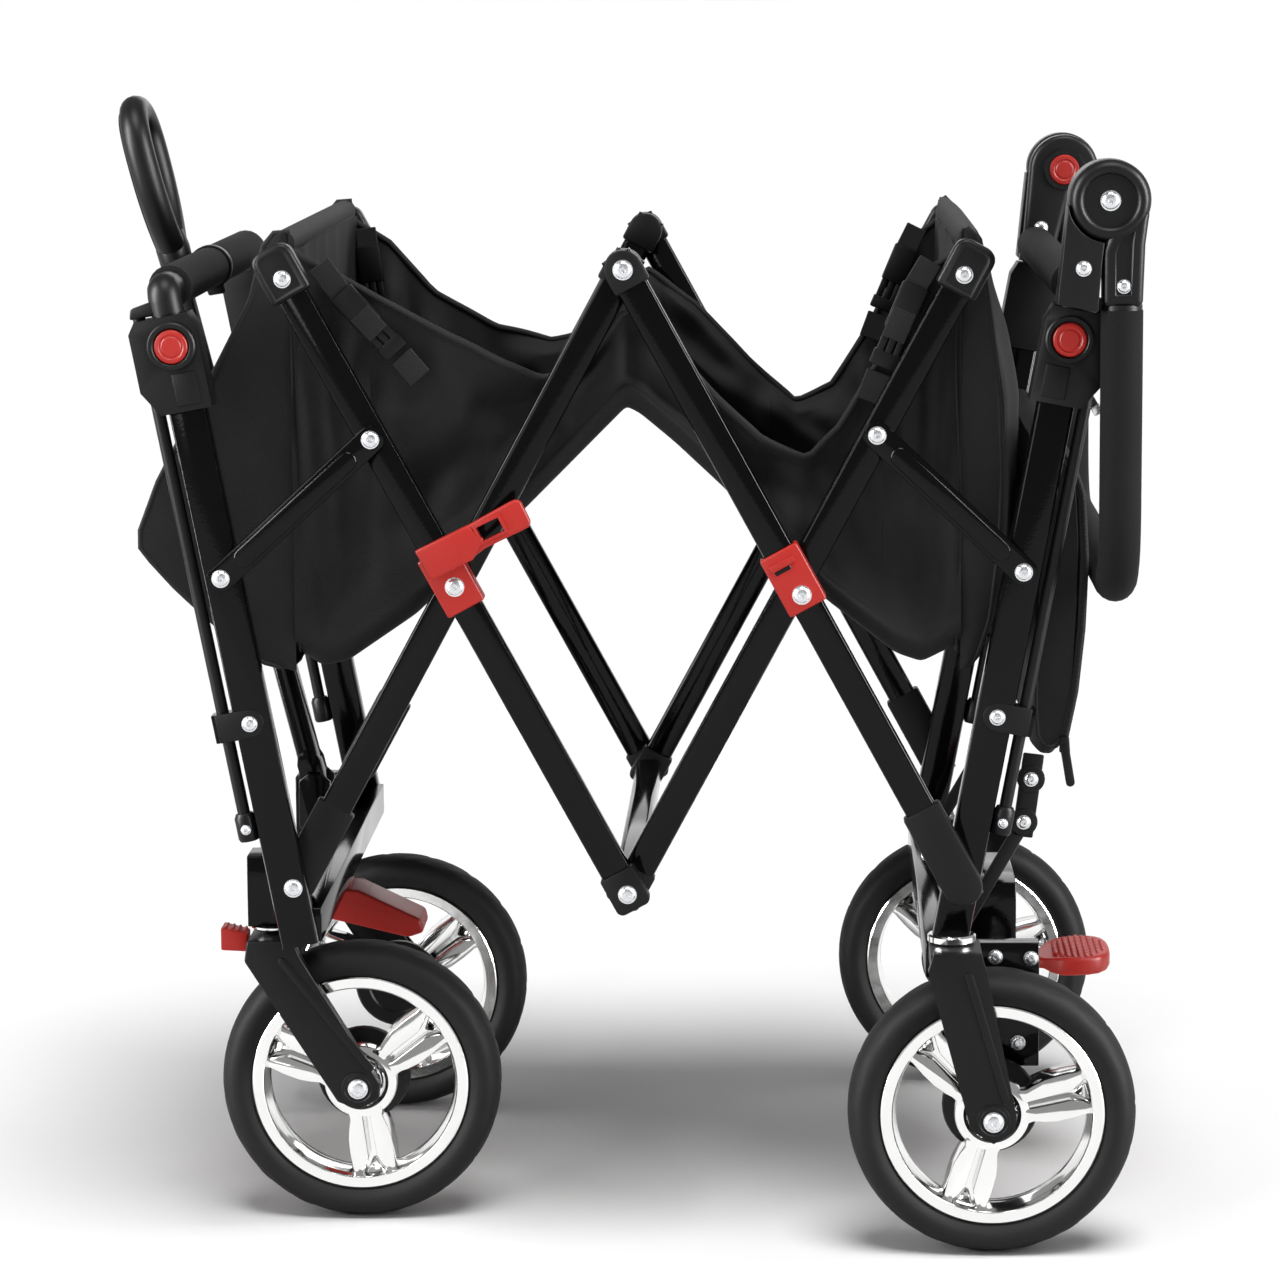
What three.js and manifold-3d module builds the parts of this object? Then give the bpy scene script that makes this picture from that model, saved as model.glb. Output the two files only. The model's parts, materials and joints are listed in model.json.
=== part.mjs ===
// Folding beach cart, half folded as it stands on its own. Millimetres, +Z up.
// -X is the pull-handle end (front), +X the push-handle end (rear), -Y the near side.
import * as THREE from "three";
import { mergeGeometries, mergeVertices } from "three/addons/utils/BufferGeometryUtils.js";
import Module from "manifold-3d";

const wasm = await Module();
wasm.setup();

// ---- driving dimensions -------------------------------------------------------------------
const SHIFT_X = 11.83; // moves the model so that the origin is under the middle of its box
const DEG = Math.PI / 180;
const GAP = 0.3; // clearance between neighbouring pieces

// scissor linkage
const BAR_ANGLE = 28.5 * DEG; // angle of every bar from the vertical, as stored
const ARM = 250; // pivot to pivot from the crossing to a top or centre end
const FOOT = 244; // pivot to pivot from the crossing to the foot of a post
const FOOT_Z = 264.2; // height of the foot pivots
const BAR_WIDTH = 22;
const BAR_DEPTH = 12;
const BAR_WALL = 1.6;
const BAR_END = 11; // metal beyond an end pivot
const INNER_Y = 238; // middle plane of the inner bars
const OUTER_Y = 251; // middle plane of the outer bars

// end posts and their stays
const POST_LEAN = 10.7 * DEG;
const POST_WIDTH = 26;
const POST_DEPTH = 17;
const POST_WALL = 1.8;
const POST_LOW = -42; // ends of a post along its axis, from the foot pivot
const POST_HIGH = 362;
const FRONT_POST_Y = 253.7;
const REAR_POST_Y = 235;
const FRONT_POST_OFFSET = 4; // a front post's axis passes this far outside its foot pivot
const STAY_ON_POST = 226; // along the post, from the foot pivot
const STAY_ON_BAR = 118; // along the bar, above the crossing
const STAY_WIDTH = 16;
const STAY_DEPTH = 6;
const FRONT_STAY_Y = 266;
const REAR_STAY_Y = 248;

// height adjusters: sockets, buttons, guide rods
const SOCKET_LOW = 345;
const SOCKET_HIGH = 412;
const SOCKET_HALF_Y = 15.5;
const LEG_RADIUS = 11;
const LEG_INNER_RADIUS = 6;
const BUTTON_RADIUS = 12;
const ROD_RADIUS = 4.5;
const FRONT_ROD_OUT = 20.5; // from a post's axis to its guide rod
const REAR_ROD_OUT = 20.5;
const ROD_LOW = 44;
const CLIP_AT = 121;
const BAIL_AT = 430; // the bail's bar, along the post
const BAIL_FOAM = 14;
const BAIL_BEND = 15;

// wheels
const WHEEL_RADIUS = 102;
const WHEEL_HALF = 22;
const WHEEL_FACETS = 36;
const RIM_RADIUS = 79;
const FRONT_WHEEL_X = -199;
const FRONT_WHEEL_Y = 160;
const REAR_WHEEL_X = 257;
const REAR_WHEEL_Y = 250;
const SWIVEL_X = -262;
const AXLE_RADIUS = 6;

// handles
const PULL_X = -246;
const PULL_Z = 290;
const PULL_LEAN = 13.9 * DEG;
const LOOP_DEPTH = 20;
const PUSH_X = 334;
const PUSH_Z = 745;
const PUSH_LEG_X = 343;
const PUSH_LEG_Y = 266;
const PUSH_LOW_Z = 475;
const KNUCKLE_RADIUS = 28;
const KNUCKLE_SPLIT_Y = 249;
const KNUCKLE_HALF = 22; // thickness of the fixed half
const KNUCKLE_TURNING = 30; // and of the turning half

// basket
const BASKET_HALF_Y = 227;
const PANEL_HALF_Y = 222;
const CLOTH = 5; // thickness of the plain cloth solids
const PANEL_X = 236.6; // inner face of the end panels

// ---- finishes -----------------------------------------------------------------------------
const LOOKS = {
  steel: { color: 0x0b0b0c, roughness: 0.25, metalness: 0.4 },
  plastic: { color: 0x121213, roughness: 0.5, metalness: 0 },
  foam: { color: 0x161617, roughness: 0.85, metalness: 0 },
  cloth: { color: 0x1a1a1b, roughness: 0.9, metalness: 0 },
  red: { color: 0xd9372a, roughness: 0.4, metalness: 0 },
  tyre: { color: 0x141414, roughness: 0.8, metalness: 0 },
  rim: { color: 0xdddddd, roughness: 0.12, metalness: 1 },
};

// ---- small tools --------------------------------------------------------------------------
const root = new THREE.Group();
root.name = "beach_cart";
root.position.x = SHIFT_X;

function bare(geometry) {
  const plain = geometry.index ? geometry.toNonIndexed() : geometry.clone();
  for (const name of Object.keys(plain.attributes)) {
    if (name !== "position") plain.deleteAttribute(name);
  }
  return mergeVertices(plain, 1e-4);
}

function solid(geometry) {
  const g = bare(geometry);
  return new wasm.Manifold(
    new wasm.Mesh({
      numProp: 3,
      vertProperties: new Float32Array(g.attributes.position.array),
      triVerts: new Uint32Array(g.index.array),
    })
  );
}

function joined(...geometries) {
  let whole = solid(geometries[0]);
  for (const g of geometries.slice(1)) whole = whole.add(solid(g));
  return fromSolid(whole);
}

function carved(geometry, ...tools) {
  let whole = solid(geometry);
  for (const g of tools) whole = whole.subtract(solid(g));
  return fromSolid(whole);
}

function fromSolid(whole) {
  const mesh = whole.getMesh();
  const g = new THREE.BufferGeometry();
  g.setAttribute("position", new THREE.BufferAttribute(new Float32Array(mesh.vertProperties), 3));
  g.setIndex(new THREE.BufferAttribute(new Uint32Array(mesh.triVerts), 1));
  return g;
}

function put(name, look, geometry) {
  const flat = geometry.index ? geometry.toNonIndexed() : geometry;
  flat.computeVertexNormals();
  const mesh = new THREE.Mesh(flat, new THREE.MeshStandardMaterial(LOOKS[look]));
  mesh.name = name;
  root.add(mesh);
}

// a plate seen from the near side: outline of [x, z] corners, from low to high y
function plateY(outline, lowY, highY, holes = []) {
  const shape = new THREE.Shape(outline.map(([x, z]) => new THREE.Vector2(x, z)));
  for (const hole of holes) {
    shape.holes.push(new THREE.Path(hole.map(([x, z]) => new THREE.Vector2(x, z))));
  }
  const g = new THREE.ExtrudeGeometry(shape, { depth: highY - lowY, bevelEnabled: false });
  g.applyMatrix4(
    new THREE.Matrix4().makeBasis(
      new THREE.Vector3(1, 0, 0),
      new THREE.Vector3(0, 0, 1),
      new THREE.Vector3(0, -1, 0)
    )
  );
  g.translate(0, highY, 0);
  return g;
}

function circle(x, z, radius, count = 20) {
  const points = [];
  for (let i = 0; i < count; i += 1) {
    const a = ((i + 0.5) / count) * 2 * Math.PI;
    points.push([x + radius * Math.cos(a), z + radius * Math.sin(a)]);
  }
  return points;
}

const discY = (x, z, radius, lowY, highY, count = 20) =>
  plateY(circle(x, z, radius, count), lowY, highY);

const boxOf = (x0, x1, y0, y1, z0, z1) => {
  const g = new THREE.BoxGeometry(x1 - x0, y1 - y0, z1 - z0);
  g.translate((x0 + x1) / 2, (y0 + y1) / 2, (z0 + z1) / 2);
  return g;
};

// outline of a strip with round ends, from p to q in the XZ plane
function strip(p, q, width, rounding = 5) {
  const angle = Math.atan2(q[1] - p[1], q[0] - p[0]);
  const points = [];
  for (const [centre, start] of [
    [q, angle - Math.PI / 2],
    [p, angle + Math.PI / 2],
  ]) {
    for (let i = 0; i <= rounding; i += 1) {
      const a = start + (i / rounding) * Math.PI;
      points.push([centre[0] + (width / 2) * Math.cos(a), centre[1] + (width / 2) * Math.sin(a)]);
    }
  }
  return points;
}

function roundedBox(width, depth, radius) {
  const points = [];
  const corners = [
    [width / 2 - radius, depth / 2 - radius, 0],
    [-width / 2 + radius, depth / 2 - radius, 90],
    [-width / 2 + radius, -depth / 2 + radius, 180],
    [width / 2 - radius, -depth / 2 + radius, 270],
  ];
  for (const [cx, cy, start] of corners) {
    for (const turn of [0, 45, 90]) {
      const a = (start + turn) * DEG;
      points.push(new THREE.Vector2(cx + radius * Math.cos(a), cy + radius * Math.sin(a)));
    }
  }
  return points;
}

// open rectangular tube from p to q, both [x, z], in the plane y
function boxTube(p, q, y, width, depth, wall) {
  const length = Math.hypot(q[0] - p[0], q[1] - p[1]);
  const along = new THREE.Vector3((q[0] - p[0]) / length, 0, (q[1] - p[1]) / length);
  const side = new THREE.Vector3(0, 1, 0).cross(along);
  const shape = new THREE.Shape(roundedBox(width, depth, 3));
  shape.holes.push(new THREE.Path(roundedBox(width - 2 * wall, depth - 2 * wall, 1.5)));
  const g = new THREE.ExtrudeGeometry(shape, { depth: length, bevelEnabled: false });
  g.applyMatrix4(new THREE.Matrix4().makeBasis(side, new THREE.Vector3(0, 1, 0), along));
  g.translate(p[0], y, p[1]);
  return g;
}

// round bar between two points in space
function roundBar(a, b, radius, count = 14) {
  const from = new THREE.Vector3(...a);
  const to = new THREE.Vector3(...b);
  const g = new THREE.CylinderGeometry(radius, radius, from.distanceTo(to), count);
  const turn = new THREE.Quaternion().setFromUnitVectors(
    new THREE.Vector3(0, 1, 0),
    to.clone().sub(from).normalize()
  );
  g.applyQuaternion(turn);
  const middle = from.add(to).multiplyScalar(0.5);
  g.translate(middle.x, middle.y, middle.z);
  return g;
}

// round bar swept along a U: down one side, across in Y, down the other; corners are bent
function bentBar(low, high, halfY, bend, radius, count = 14) {
  const dir = [high[0] - low[0], high[1] - low[1]];
  const length = Math.hypot(dir[0], dir[1]);
  const unit = [dir[0] / length, dir[1] / length];
  const at = (t, y) => new THREE.Vector3(low[0] + unit[0] * t, y, low[1] + unit[1] * t);
  const path = new THREE.CurvePath();
  path.add(new THREE.LineCurve3(at(0, -halfY), at(length - bend, -halfY)));
  const arc = (side) => {
    const points = [];
    for (let i = 0; i <= 6; i += 1) {
      const a = (i / 6) * (Math.PI / 2);
      points.push(
        at(length - bend + bend * Math.sin(a), side * (halfY - bend + bend * Math.cos(a)))
      );
    }
    return side < 0 ? points : points.reverse();
  };
  const through = (points) => {
    for (let i = 1; i < points.length; i += 1) {
      path.add(new THREE.LineCurve3(points[i - 1], points[i]));
    }
  };
  through(arc(-1));
  path.add(new THREE.LineCurve3(at(length, -halfY + bend), at(length, halfY - bend)));
  through(arc(1));
  path.add(new THREE.LineCurve3(at(length - bend, halfY), at(0, halfY)));
  const ends = [path.curves[0].v1, ...path.curves.map((c) => c.v2)];
  const corners = ends.filter((c, i) => i === 0 || c.distanceTo(ends[i - 1]) > 0.5);
  return sweep(corners, radius, count);
}

// round section carried along a polyline, mitred at each corner
function sweep(corners, radius, count) {
  const rings = [];
  let side = null;
  corners.forEach((corner, i) => {
    const before = corners[Math.max(i - 1, 0)];
    const after = corners[Math.min(i + 1, corners.length - 1)];
    const into = corner.clone().sub(before).normalize();
    const out = after.clone().sub(corner).normalize();
    const tangent = into.clone().add(out).normalize();
    if (!side) {
      side = new THREE.Vector3(1, 0, 0).projectOnPlane(tangent).normalize();
    }
    side = side.clone().projectOnPlane(tangent).normalize();
    const other = tangent.clone().cross(side);
    const ring = [];
    for (let k = 0; k < count; k += 1) {
      const a = (k / count) * 2 * Math.PI;
      ring.push(
        corner
          .clone()
          .addScaledVector(side, radius * Math.cos(a))
          .addScaledVector(other, radius * Math.sin(a))
      );
    }
    rings.push(ring);
  });
  const triangles = [];
  const face = (a, b, c) => triangles.push(a, b, c);
  for (let i = 1; i < rings.length; i += 1) {
    for (let k = 0; k < count; k += 1) {
      const n = (k + 1) % count;
      face(rings[i - 1][k], rings[i - 1][n], rings[i][n]);
      face(rings[i - 1][k], rings[i][n], rings[i][k]);
    }
  }
  const last = rings[rings.length - 1];
  for (let k = 1; k < count - 1; k += 1) {
    face(rings[0][0], rings[0][k + 1], rings[0][k]);
    face(last[0], last[k], last[k + 1]);
  }
  return new THREE.BufferGeometry().setFromPoints(triangles);
}

// body of revolution about a Y axis through (x, z); profile is a closed loop of [radius, y]
function turned(profile, x, z, facets = WHEEL_FACETS) {
  const loop = [...profile, profile[0]].map(([r, y]) => new THREE.Vector2(r, y));
  const g = new THREE.LatheGeometry(loop, facets);
  g.rotateY(Math.PI / facets);
  g.translate(x, 0, z);
  return g;
}

// ---- linkage points -----------------------------------------------------------------------
const sin = Math.sin(BAR_ANGLE);
const cos = Math.cos(BAR_ANGLE);
const CROSS_Z = FOOT_Z + FOOT * cos;
const TOP_Z = CROSS_Z + ARM * cos;
const LOW_Z = CROSS_Z - ARM * cos;
const FOOT_X = (ARM + FOOT) * sin;
const END_X = 2 * ARM * sin;

// a point on a post: t along it from the foot pivot, out outward from its axis; end -1 or 1
function onPost(end, t, out = 0) {
  const offset = end < 0 ? FRONT_POST_OFFSET : 0;
  const across = offset + out;
  const x = FOOT_X + t * Math.sin(POST_LEAN) + across * Math.cos(POST_LEAN);
  const z = FOOT_Z + t * Math.cos(POST_LEAN) - across * Math.sin(POST_LEAN);
  return [end * x, z];
}

// ---- sub-parts ----------------------------------------------------------------------------
const SIDES = [
  ["near", -1],
  ["far", 1],
];

function span(side, inner, outer) {
  return side < 0 ? [-outer, -inner] : [inner, outer];
}

function bar(name, side, from, to, planeY) {
  const length = Math.hypot(to[0] - from[0], to[1] - from[1]);
  const ux = (to[0] - from[0]) / length;
  const uz = (to[1] - from[1]) / length;
  const a = [from[0] - ux * BAR_END, from[1] - uz * BAR_END];
  const b = [to[0] + ux * BAR_END, to[1] + uz * BAR_END];
  put(name, "steel", boxTube(a, b, side * planeY, BAR_WIDTH, BAR_DEPTH, BAR_WALL));
}

function linkage(word, side) {
  bar(`bar_front_outer_${word}`, side, [0, LOW_Z], [-END_X, TOP_Z], OUTER_Y);
  bar(`bar_front_inner_${word}`, side, [-FOOT_X, FOOT_Z], [0, TOP_Z], INNER_Y);
  bar(`bar_rear_outer_${word}`, side, [FOOT_X, FOOT_Z], [0, TOP_Z], OUTER_Y);
  bar(`bar_rear_inner_${word}`, side, [0, LOW_Z], [END_X, TOP_Z], INNER_Y);
}

function stay(word, side, end) {
  const low = onPost(end, STAY_ON_POST, end < 0 ? -FRONT_POST_OFFSET : 0);
  const high = [end * (ARM + STAY_ON_BAR) * sin, CROSS_Z + STAY_ON_BAR * cos];
  const plane = end < 0 ? FRONT_STAY_Y : REAR_STAY_Y;
  const [y0, y1] = span(side, plane - STAY_DEPTH / 2, plane + STAY_DEPTH / 2);
  let g = plateY(strip(low, high, STAY_WIDTH), y0, y1);
  if (end < 0) {
    // a spacer carries the stay across to the bar's face
    const [s0, s1] = span(side, OUTER_Y + BAR_DEPTH / 2 + GAP, plane);
    g = joined(g, discY(high[0], high[1], 7, s0, s1, 12));
  }
  put(`stay_${end < 0 ? "front" : "rear"}_${word}`, "steel", g);
}

// where the guide rod runs beside a post
const rodOut = (end) => (end < 0 ? FRONT_ROD_OUT : REAR_ROD_OUT);
const postY = (end) => (end < 0 ? FRONT_POST_Y : REAR_POST_Y);

function post(word, side, end) {
  const low = onPost(end, POST_LOW);
  const high = onPost(end, POST_HIGH);
  const middle = side * postY(end);
  const tube = boxTube(low, high, middle, POST_WIDTH, POST_DEPTH, POST_WALL);
  const inside = POST_WIDTH / 2 - POST_WALL / 2;
  const reach = rodOut(end) + ROD_RADIUS + 3;
  const clip = plateY(
    [
      onPost(end, CLIP_AT - 10, inside),
      onPost(end, CLIP_AT - 10, reach),
      onPost(end, CLIP_AT + 10, reach),
      onPost(end, CLIP_AT + 10, inside),
    ].reverse(),
    middle - 8,
    middle + 8
  );
  const [x0, z0] = onPost(end, CLIP_AT - 20, rodOut(end));
  const [x1, z1] = onPost(end, CLIP_AT + 20, rodOut(end));
  const hole = roundBar([x0, middle, z0], [x1, middle, z1], ROD_RADIUS + GAP, 12);
  const name = `post_${end < 0 ? "front" : "rear"}_${word}`;
  put(name, "steel", joined(tube, carved(clip, hole)));
}

function socket(word, side, end) {
  const middle = side * postY(end);
  const outline = [
    onPost(end, SOCKET_LOW, -19),
    onPost(end, SOCKET_LOW, 17),
    onPost(end, SOCKET_LOW + 18, rodOut(end) + 7.5),
    onPost(end, SOCKET_HIGH - 8, rodOut(end) + 7.5),
    onPost(end, SOCKET_HIGH, rodOut(end) + 2),
    onPost(end, SOCKET_HIGH, -15),
    onPost(end, SOCKET_HIGH - 10, -19),
  ];
  const block = plateY(outline, middle - SOCKET_HALF_Y, middle + SOCKET_HALF_Y);
  const seat = boxTubeSolid(
    onPost(end, SOCKET_LOW - 5),
    onPost(end, POST_HIGH + GAP),
    middle,
    POST_WIDTH + 2 * GAP,
    POST_DEPTH + 2 * GAP
  );
  const bore = roundBar(
    at3(onPost(end, SOCKET_LOW), middle),
    at3(onPost(end, SOCKET_HIGH + 5), middle),
    LEG_RADIUS + 2 * GAP
  );
  const rodBore = roundBar(
    at3(onPost(end, SOCKET_LOW - 5, rodOut(end)), middle),
    at3(onPost(end, SOCKET_HIGH + 5, rodOut(end)), middle),
    ROD_RADIUS + GAP,
    12
  );
  const [bx, bz] = onPost(end, BUTTON_AT);
  const [y0, y1] = span(side, postY(end) + 10, postY(end) + SOCKET_HALF_Y + 5);
  const pocket = discY(bx, bz, BUTTON_RADIUS + GAP, y0, y1);
  const label = `${end < 0 ? "front" : "rear"}_${word}`;
  put(`socket_${label}`, "plastic", carved(block, seat, bore, rodBore, pocket));
  const [b0, b1] = span(side, postY(end) + 14.4, postY(end) + SOCKET_HALF_Y + 4);
  put(`height_button_${label}`, "red", discY(bx, bz, BUTTON_RADIUS, b0, b1));
}
const BUTTON_AT = 391;

const at3 = ([x, z], y) => [x, y, z];

function boxTubeSolid(p, q, y, width, depth) {
  const length = Math.hypot(q[0] - p[0], q[1] - p[1]);
  const along = new THREE.Vector3((q[0] - p[0]) / length, 0, (q[1] - p[1]) / length);
  const side = new THREE.Vector3(0, 1, 0).cross(along);
  const g = new THREE.BoxGeometry(width, depth, length);
  g.translate(0, 0, length / 2);
  g.applyMatrix4(new THREE.Matrix4().makeBasis(side, new THREE.Vector3(0, 1, 0), along));
  g.translate(p[0], y, p[1]);
  return g;
}

// inner rods and guide rods of one end, both sides
function slidingRods(end) {
  const pieces = [];
  for (const [, side] of SIDES) {
    const y = side * postY(end);
    pieces.push(
      roundBar(at3(onPost(end, 240), y), at3(onPost(end, SOCKET_LOW + 25), y), LEG_INNER_RADIUS, 10)
    );
    pieces.push(
      roundBar(
        at3(onPost(end, POST_HIGH + 2), y),
        at3(onPost(end, SOCKET_HIGH + 6), y),
        LEG_RADIUS
      )
    );
    pieces.push(
      roundBar(
        at3(onPost(end, ROD_LOW, rodOut(end)), y),
        at3(onPost(end, SOCKET_HIGH + 6, rodOut(end)), y),
        ROD_RADIUS,
        10
      )
    );
    pieces.push(
      roundBar(
        at3(onPost(end, ROD_LOW - 6, rodOut(end)), y),
        at3(onPost(end, ROD_LOW + 14, rodOut(end)), y),
        ROD_RADIUS + 3,
        12
      )
    );
    // lug that ties the guide rod to the leg, above the socket
    pieces.push(
      plateY(
        [
          onPost(end, SOCKET_HIGH + 1, -6),
          onPost(end, SOCKET_HIGH + 1, rodOut(end) + 6),
          onPost(end, SOCKET_HIGH + 9, rodOut(end) + 4),
          onPost(end, SOCKET_HIGH + 14, -6),
        ],
        y - 7,
        y + 7
      )
    );
  }
  return pieces;
}

function frontBail() {
  const foam = bentBar(
    onPost(-1, SOCKET_HIGH + 1),
    onPost(-1, BAIL_AT),
    FRONT_POST_Y,
    BAIL_BEND,
    BAIL_FOAM
  );
  put("front_bail", "foam", joined(foam, ...slidingRods(-1)));
}

function pushFrame() {
  const pieces = slidingRods(1);
  for (const [, side] of SIDES) {
    const [y0, y1] = span(side, KNUCKLE_SPLIT_Y - KNUCKLE_HALF, KNUCKLE_SPLIT_Y);
    const [bx, bz] = [PUSH_X, PUSH_Z];
    const head = discY(bx, bz, KNUCKLE_RADIUS, y0, y1, 24);
    const leg = plateY(
      [
        onPost(1, SOCKET_HIGH + 1, -14),
        onPost(1, SOCKET_HIGH + 1, 12),
        [PUSH_X - 1, PUSH_Z - 22],
        [PUSH_X, PUSH_Z],
        [PUSH_X - KNUCKLE_RADIUS + 0.3, PUSH_Z],
      ],
      y0,
      y1
    );
    const [p0, p1] = span(side, KNUCKLE_SPLIT_Y - KNUCKLE_HALF - 5, KNUCKLE_SPLIT_Y - 12);
    const pocket = discY(PUSH_X, PUSH_Z, BUTTON_RADIUS + GAP, p0, p1);
    pieces.push(carved(joined(head, leg), pocket));
  }
  const [cx, cz] = onPost(1, SOCKET_HIGH + 16, -4);
  pieces.push(roundBar([cx, -230, cz], [cx, 230, cz], BAIL_FOAM, 16));
  put("push_frame", "plastic", joined(...pieces));
  for (const [word, side] of SIDES) {
    const [b0, b1] = span(side, KNUCKLE_SPLIT_Y - KNUCKLE_HALF - 4, KNUCKLE_SPLIT_Y - 15.5);
    put(`knuckle_button_${word}`, "red", discY(PUSH_X, PUSH_Z, BUTTON_RADIUS, b0, b1));
  }
}

function pushHandle() {
  for (const [word, side] of SIDES) {
    const [y0, y1] = span(side, KNUCKLE_SPLIT_Y + GAP, KNUCKLE_SPLIT_Y + KNUCKLE_TURNING);
    const head = discY(PUSH_X, PUSH_Z, KNUCKLE_RADIUS, y0, y1, 24);
    const leg = plateY(
      [
        [PUSH_LEG_X - 13, PUSH_Z - 75],
        [PUSH_LEG_X + 13, PUSH_Z - 75],
        [PUSH_X + KNUCKLE_RADIUS - 0.3, PUSH_Z],
        [PUSH_X, PUSH_Z],
        [PUSH_LEG_X - 13, PUSH_Z - 30],
      ],
      y0,
      y1
    );
    const bore = roundBar(
      [PUSH_LEG_X, side * PUSH_LEG_Y, PUSH_Z - 80],
      [PUSH_LEG_X, side * PUSH_LEG_Y, PUSH_Z - 50],
      LEG_RADIUS - 2 + GAP
    );
    put(`push_knuckle_${word}`, "plastic", carved(joined(head, leg), bore));
  }
  const foam = bentBar(
    [PUSH_LEG_X, PUSH_Z - 75 - GAP],
    [PUSH_LEG_X, PUSH_LOW_Z],
    PUSH_LEG_Y,
    42,
    BAIL_FOAM + 0.5
  );
  const stubs = SIDES.map(([, side]) =>
    roundBar(
      [PUSH_LEG_X, side * PUSH_LEG_Y, PUSH_Z - 100],
      [PUSH_LEG_X, side * PUSH_LEG_Y, PUSH_Z - 51],
      LEG_RADIUS - 2
    )
  );
  put("push_handle", "foam", joined(foam, ...stubs));
}

function wheel(word, x, y, side) {
  const h = WHEEL_HALF;
  const r = WHEEL_RADIUS / Math.cos(Math.PI / WHEEL_FACETS);
  const tread = [
    [RIM_RADIUS + GAP, -h + 6],
    [r - 12, -h],
    [r - 3, -h + 5],
    [r, -h + 11],
    [r, h - 11],
    [r - 3, h - 5],
    [r - 12, h],
    [RIM_RADIUS + GAP, h - 6],
  ];
  const tyre = turned(tread, x, WHEEL_RADIUS);
  tyre.translate(0, y, 0);
  put(`tyre_${word}`, "tyre", tyre);

  const ring = turned(
    [
      [RIM_RADIUS - 9, -h + 4],
      [RIM_RADIUS, -h + 4],
      [RIM_RADIUS, h - 4],
      [RIM_RADIUS - 9, h - 4],
      [RIM_RADIUS - 4, 0],
    ],
    x,
    WHEEL_RADIUS
  );
  ring.translate(0, y, 0);
  const hub = discY(x, WHEEL_RADIUS, 19, y - 17, y + 17, 18);
  const spokes = [];
  for (const turn of [-90, 30, 150]) {
    for (const lean of [-9, 9]) {
      const a = (turn + lean * 0.4) * DEG;
      const off = lean * 0.8;
      const nx = -Math.sin(a) * off;
      const nz = Math.cos(a) * off;
      const p = [x + 10 * Math.cos(a) + nx, WHEEL_RADIUS + 10 * Math.sin(a) + nz];
      const reach = RIM_RADIUS - 6;
      const q = [x + reach * Math.cos(a) + nx, WHEEL_RADIUS + reach * Math.sin(a) + nz];
      spokes.push(plateY(strip(p, q, 10, 2), y - 9, y + 9));
    }
  }
  const bore = discY(x, WHEEL_RADIUS, AXLE_RADIUS + GAP, y - 30, y + 30, 16);
  put(`rim_${word}`, "rim", carved(joined(ring, hub, ...spokes), bore));
}

function frontFork(word, side) {
  const y = side * FRONT_WHEEL_Y;
  const legIn = FRONT_WHEEL_Y + WHEEL_HALF + 4;
  const [l0, l1] = span(side, legIn, legIn + 10);
  const leg = plateY(
    [
      [SWIVEL_X - 18, 196],
      [FRONT_WHEEL_X - 15, 92],
      [FRONT_WHEEL_X, 86],
      [FRONT_WHEEL_X + 15, 94],
      [FRONT_WHEEL_X + 16, 106],
      [SWIVEL_X + 22, 200],
      [SWIVEL_X + 18, 211],
      [SWIVEL_X - 16, 211],
    ],
    l0,
    l1
  );
  const [c0, c1] = span(side, FRONT_WHEEL_Y - 18, legIn + 5);
  const crown = plateY(
    [
      [SWIVEL_X - 18, 196],
      [SWIVEL_X + 14, 196],
      [SWIVEL_X + 18, 211],
      [SWIVEL_X - 16, 211],
    ],
    c0,
    c1
  );
  const pin = roundBar([SWIVEL_X, y, 208], [SWIVEL_X, y, 240], AXLE_RADIUS, 16);
  const [a0, a1] = span(side, FRONT_WHEEL_Y - 19, legIn + 3);
  const axle = discY(FRONT_WHEEL_X, WHEEL_RADIUS, AXLE_RADIUS, a0, a1, 16);
  const [h0, h1] = span(side, FRONT_WHEEL_Y + 17 + GAP, legIn + 3);
  const boss = discY(FRONT_WHEEL_X, WHEEL_RADIUS, 11, h0, h1, 16);
  put(`fork_front_${word}`, "plastic", joined(leg, crown, pin, axle, boss));

  const [k0, k1] = span(side, FRONT_WHEEL_Y - 12, FRONT_WHEEL_Y + 12);
  const lever = plateY(
    [
      [SWIVEL_X - 38, 200],
      [SWIVEL_X - 18 - GAP, 196.5],
      [SWIVEL_X - 18 - GAP, 210],
      [SWIVEL_X - 36, 216],
    ],
    k0,
    k1
  );
  put(`caster_lock_${word}`, "red", lever);
}

function rearFork(word, side) {
  const legIn = REAR_WHEEL_Y + WHEEL_HALF + 4;
  const [l0, l1] = span(side, legIn, legIn + 11);
  const leg = plateY(
    [
      [211, 209],
      [REAR_WHEEL_X - 16, 96],
      [REAR_WHEEL_X, 86],
      [REAR_WHEEL_X + 15, 95],
      [REAR_WHEEL_X + 16, 106],
      [252, 208],
      [248, 222],
      [215, 222],
    ],
    l0,
    l1
  );
  const [c0, c1] = span(side, REAR_POST_Y - 9, legIn + 5);
  const crown = boxOf(213, 249, c0, c1, 206.5, 219.5);
  const [a0, a1] = span(side, REAR_WHEEL_Y - 19, legIn + 3);
  const axle = discY(REAR_WHEEL_X, WHEEL_RADIUS, AXLE_RADIUS, a0, a1, 16);
  const [h0, h1] = span(side, REAR_WHEEL_Y + 17 + GAP, legIn + 3);
  const boss = discY(REAR_WHEEL_X, WHEEL_RADIUS, 11, h0, h1, 16);
  put(`fork_rear_${word}`, "plastic", joined(leg, crown, axle, boss));
}

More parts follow.
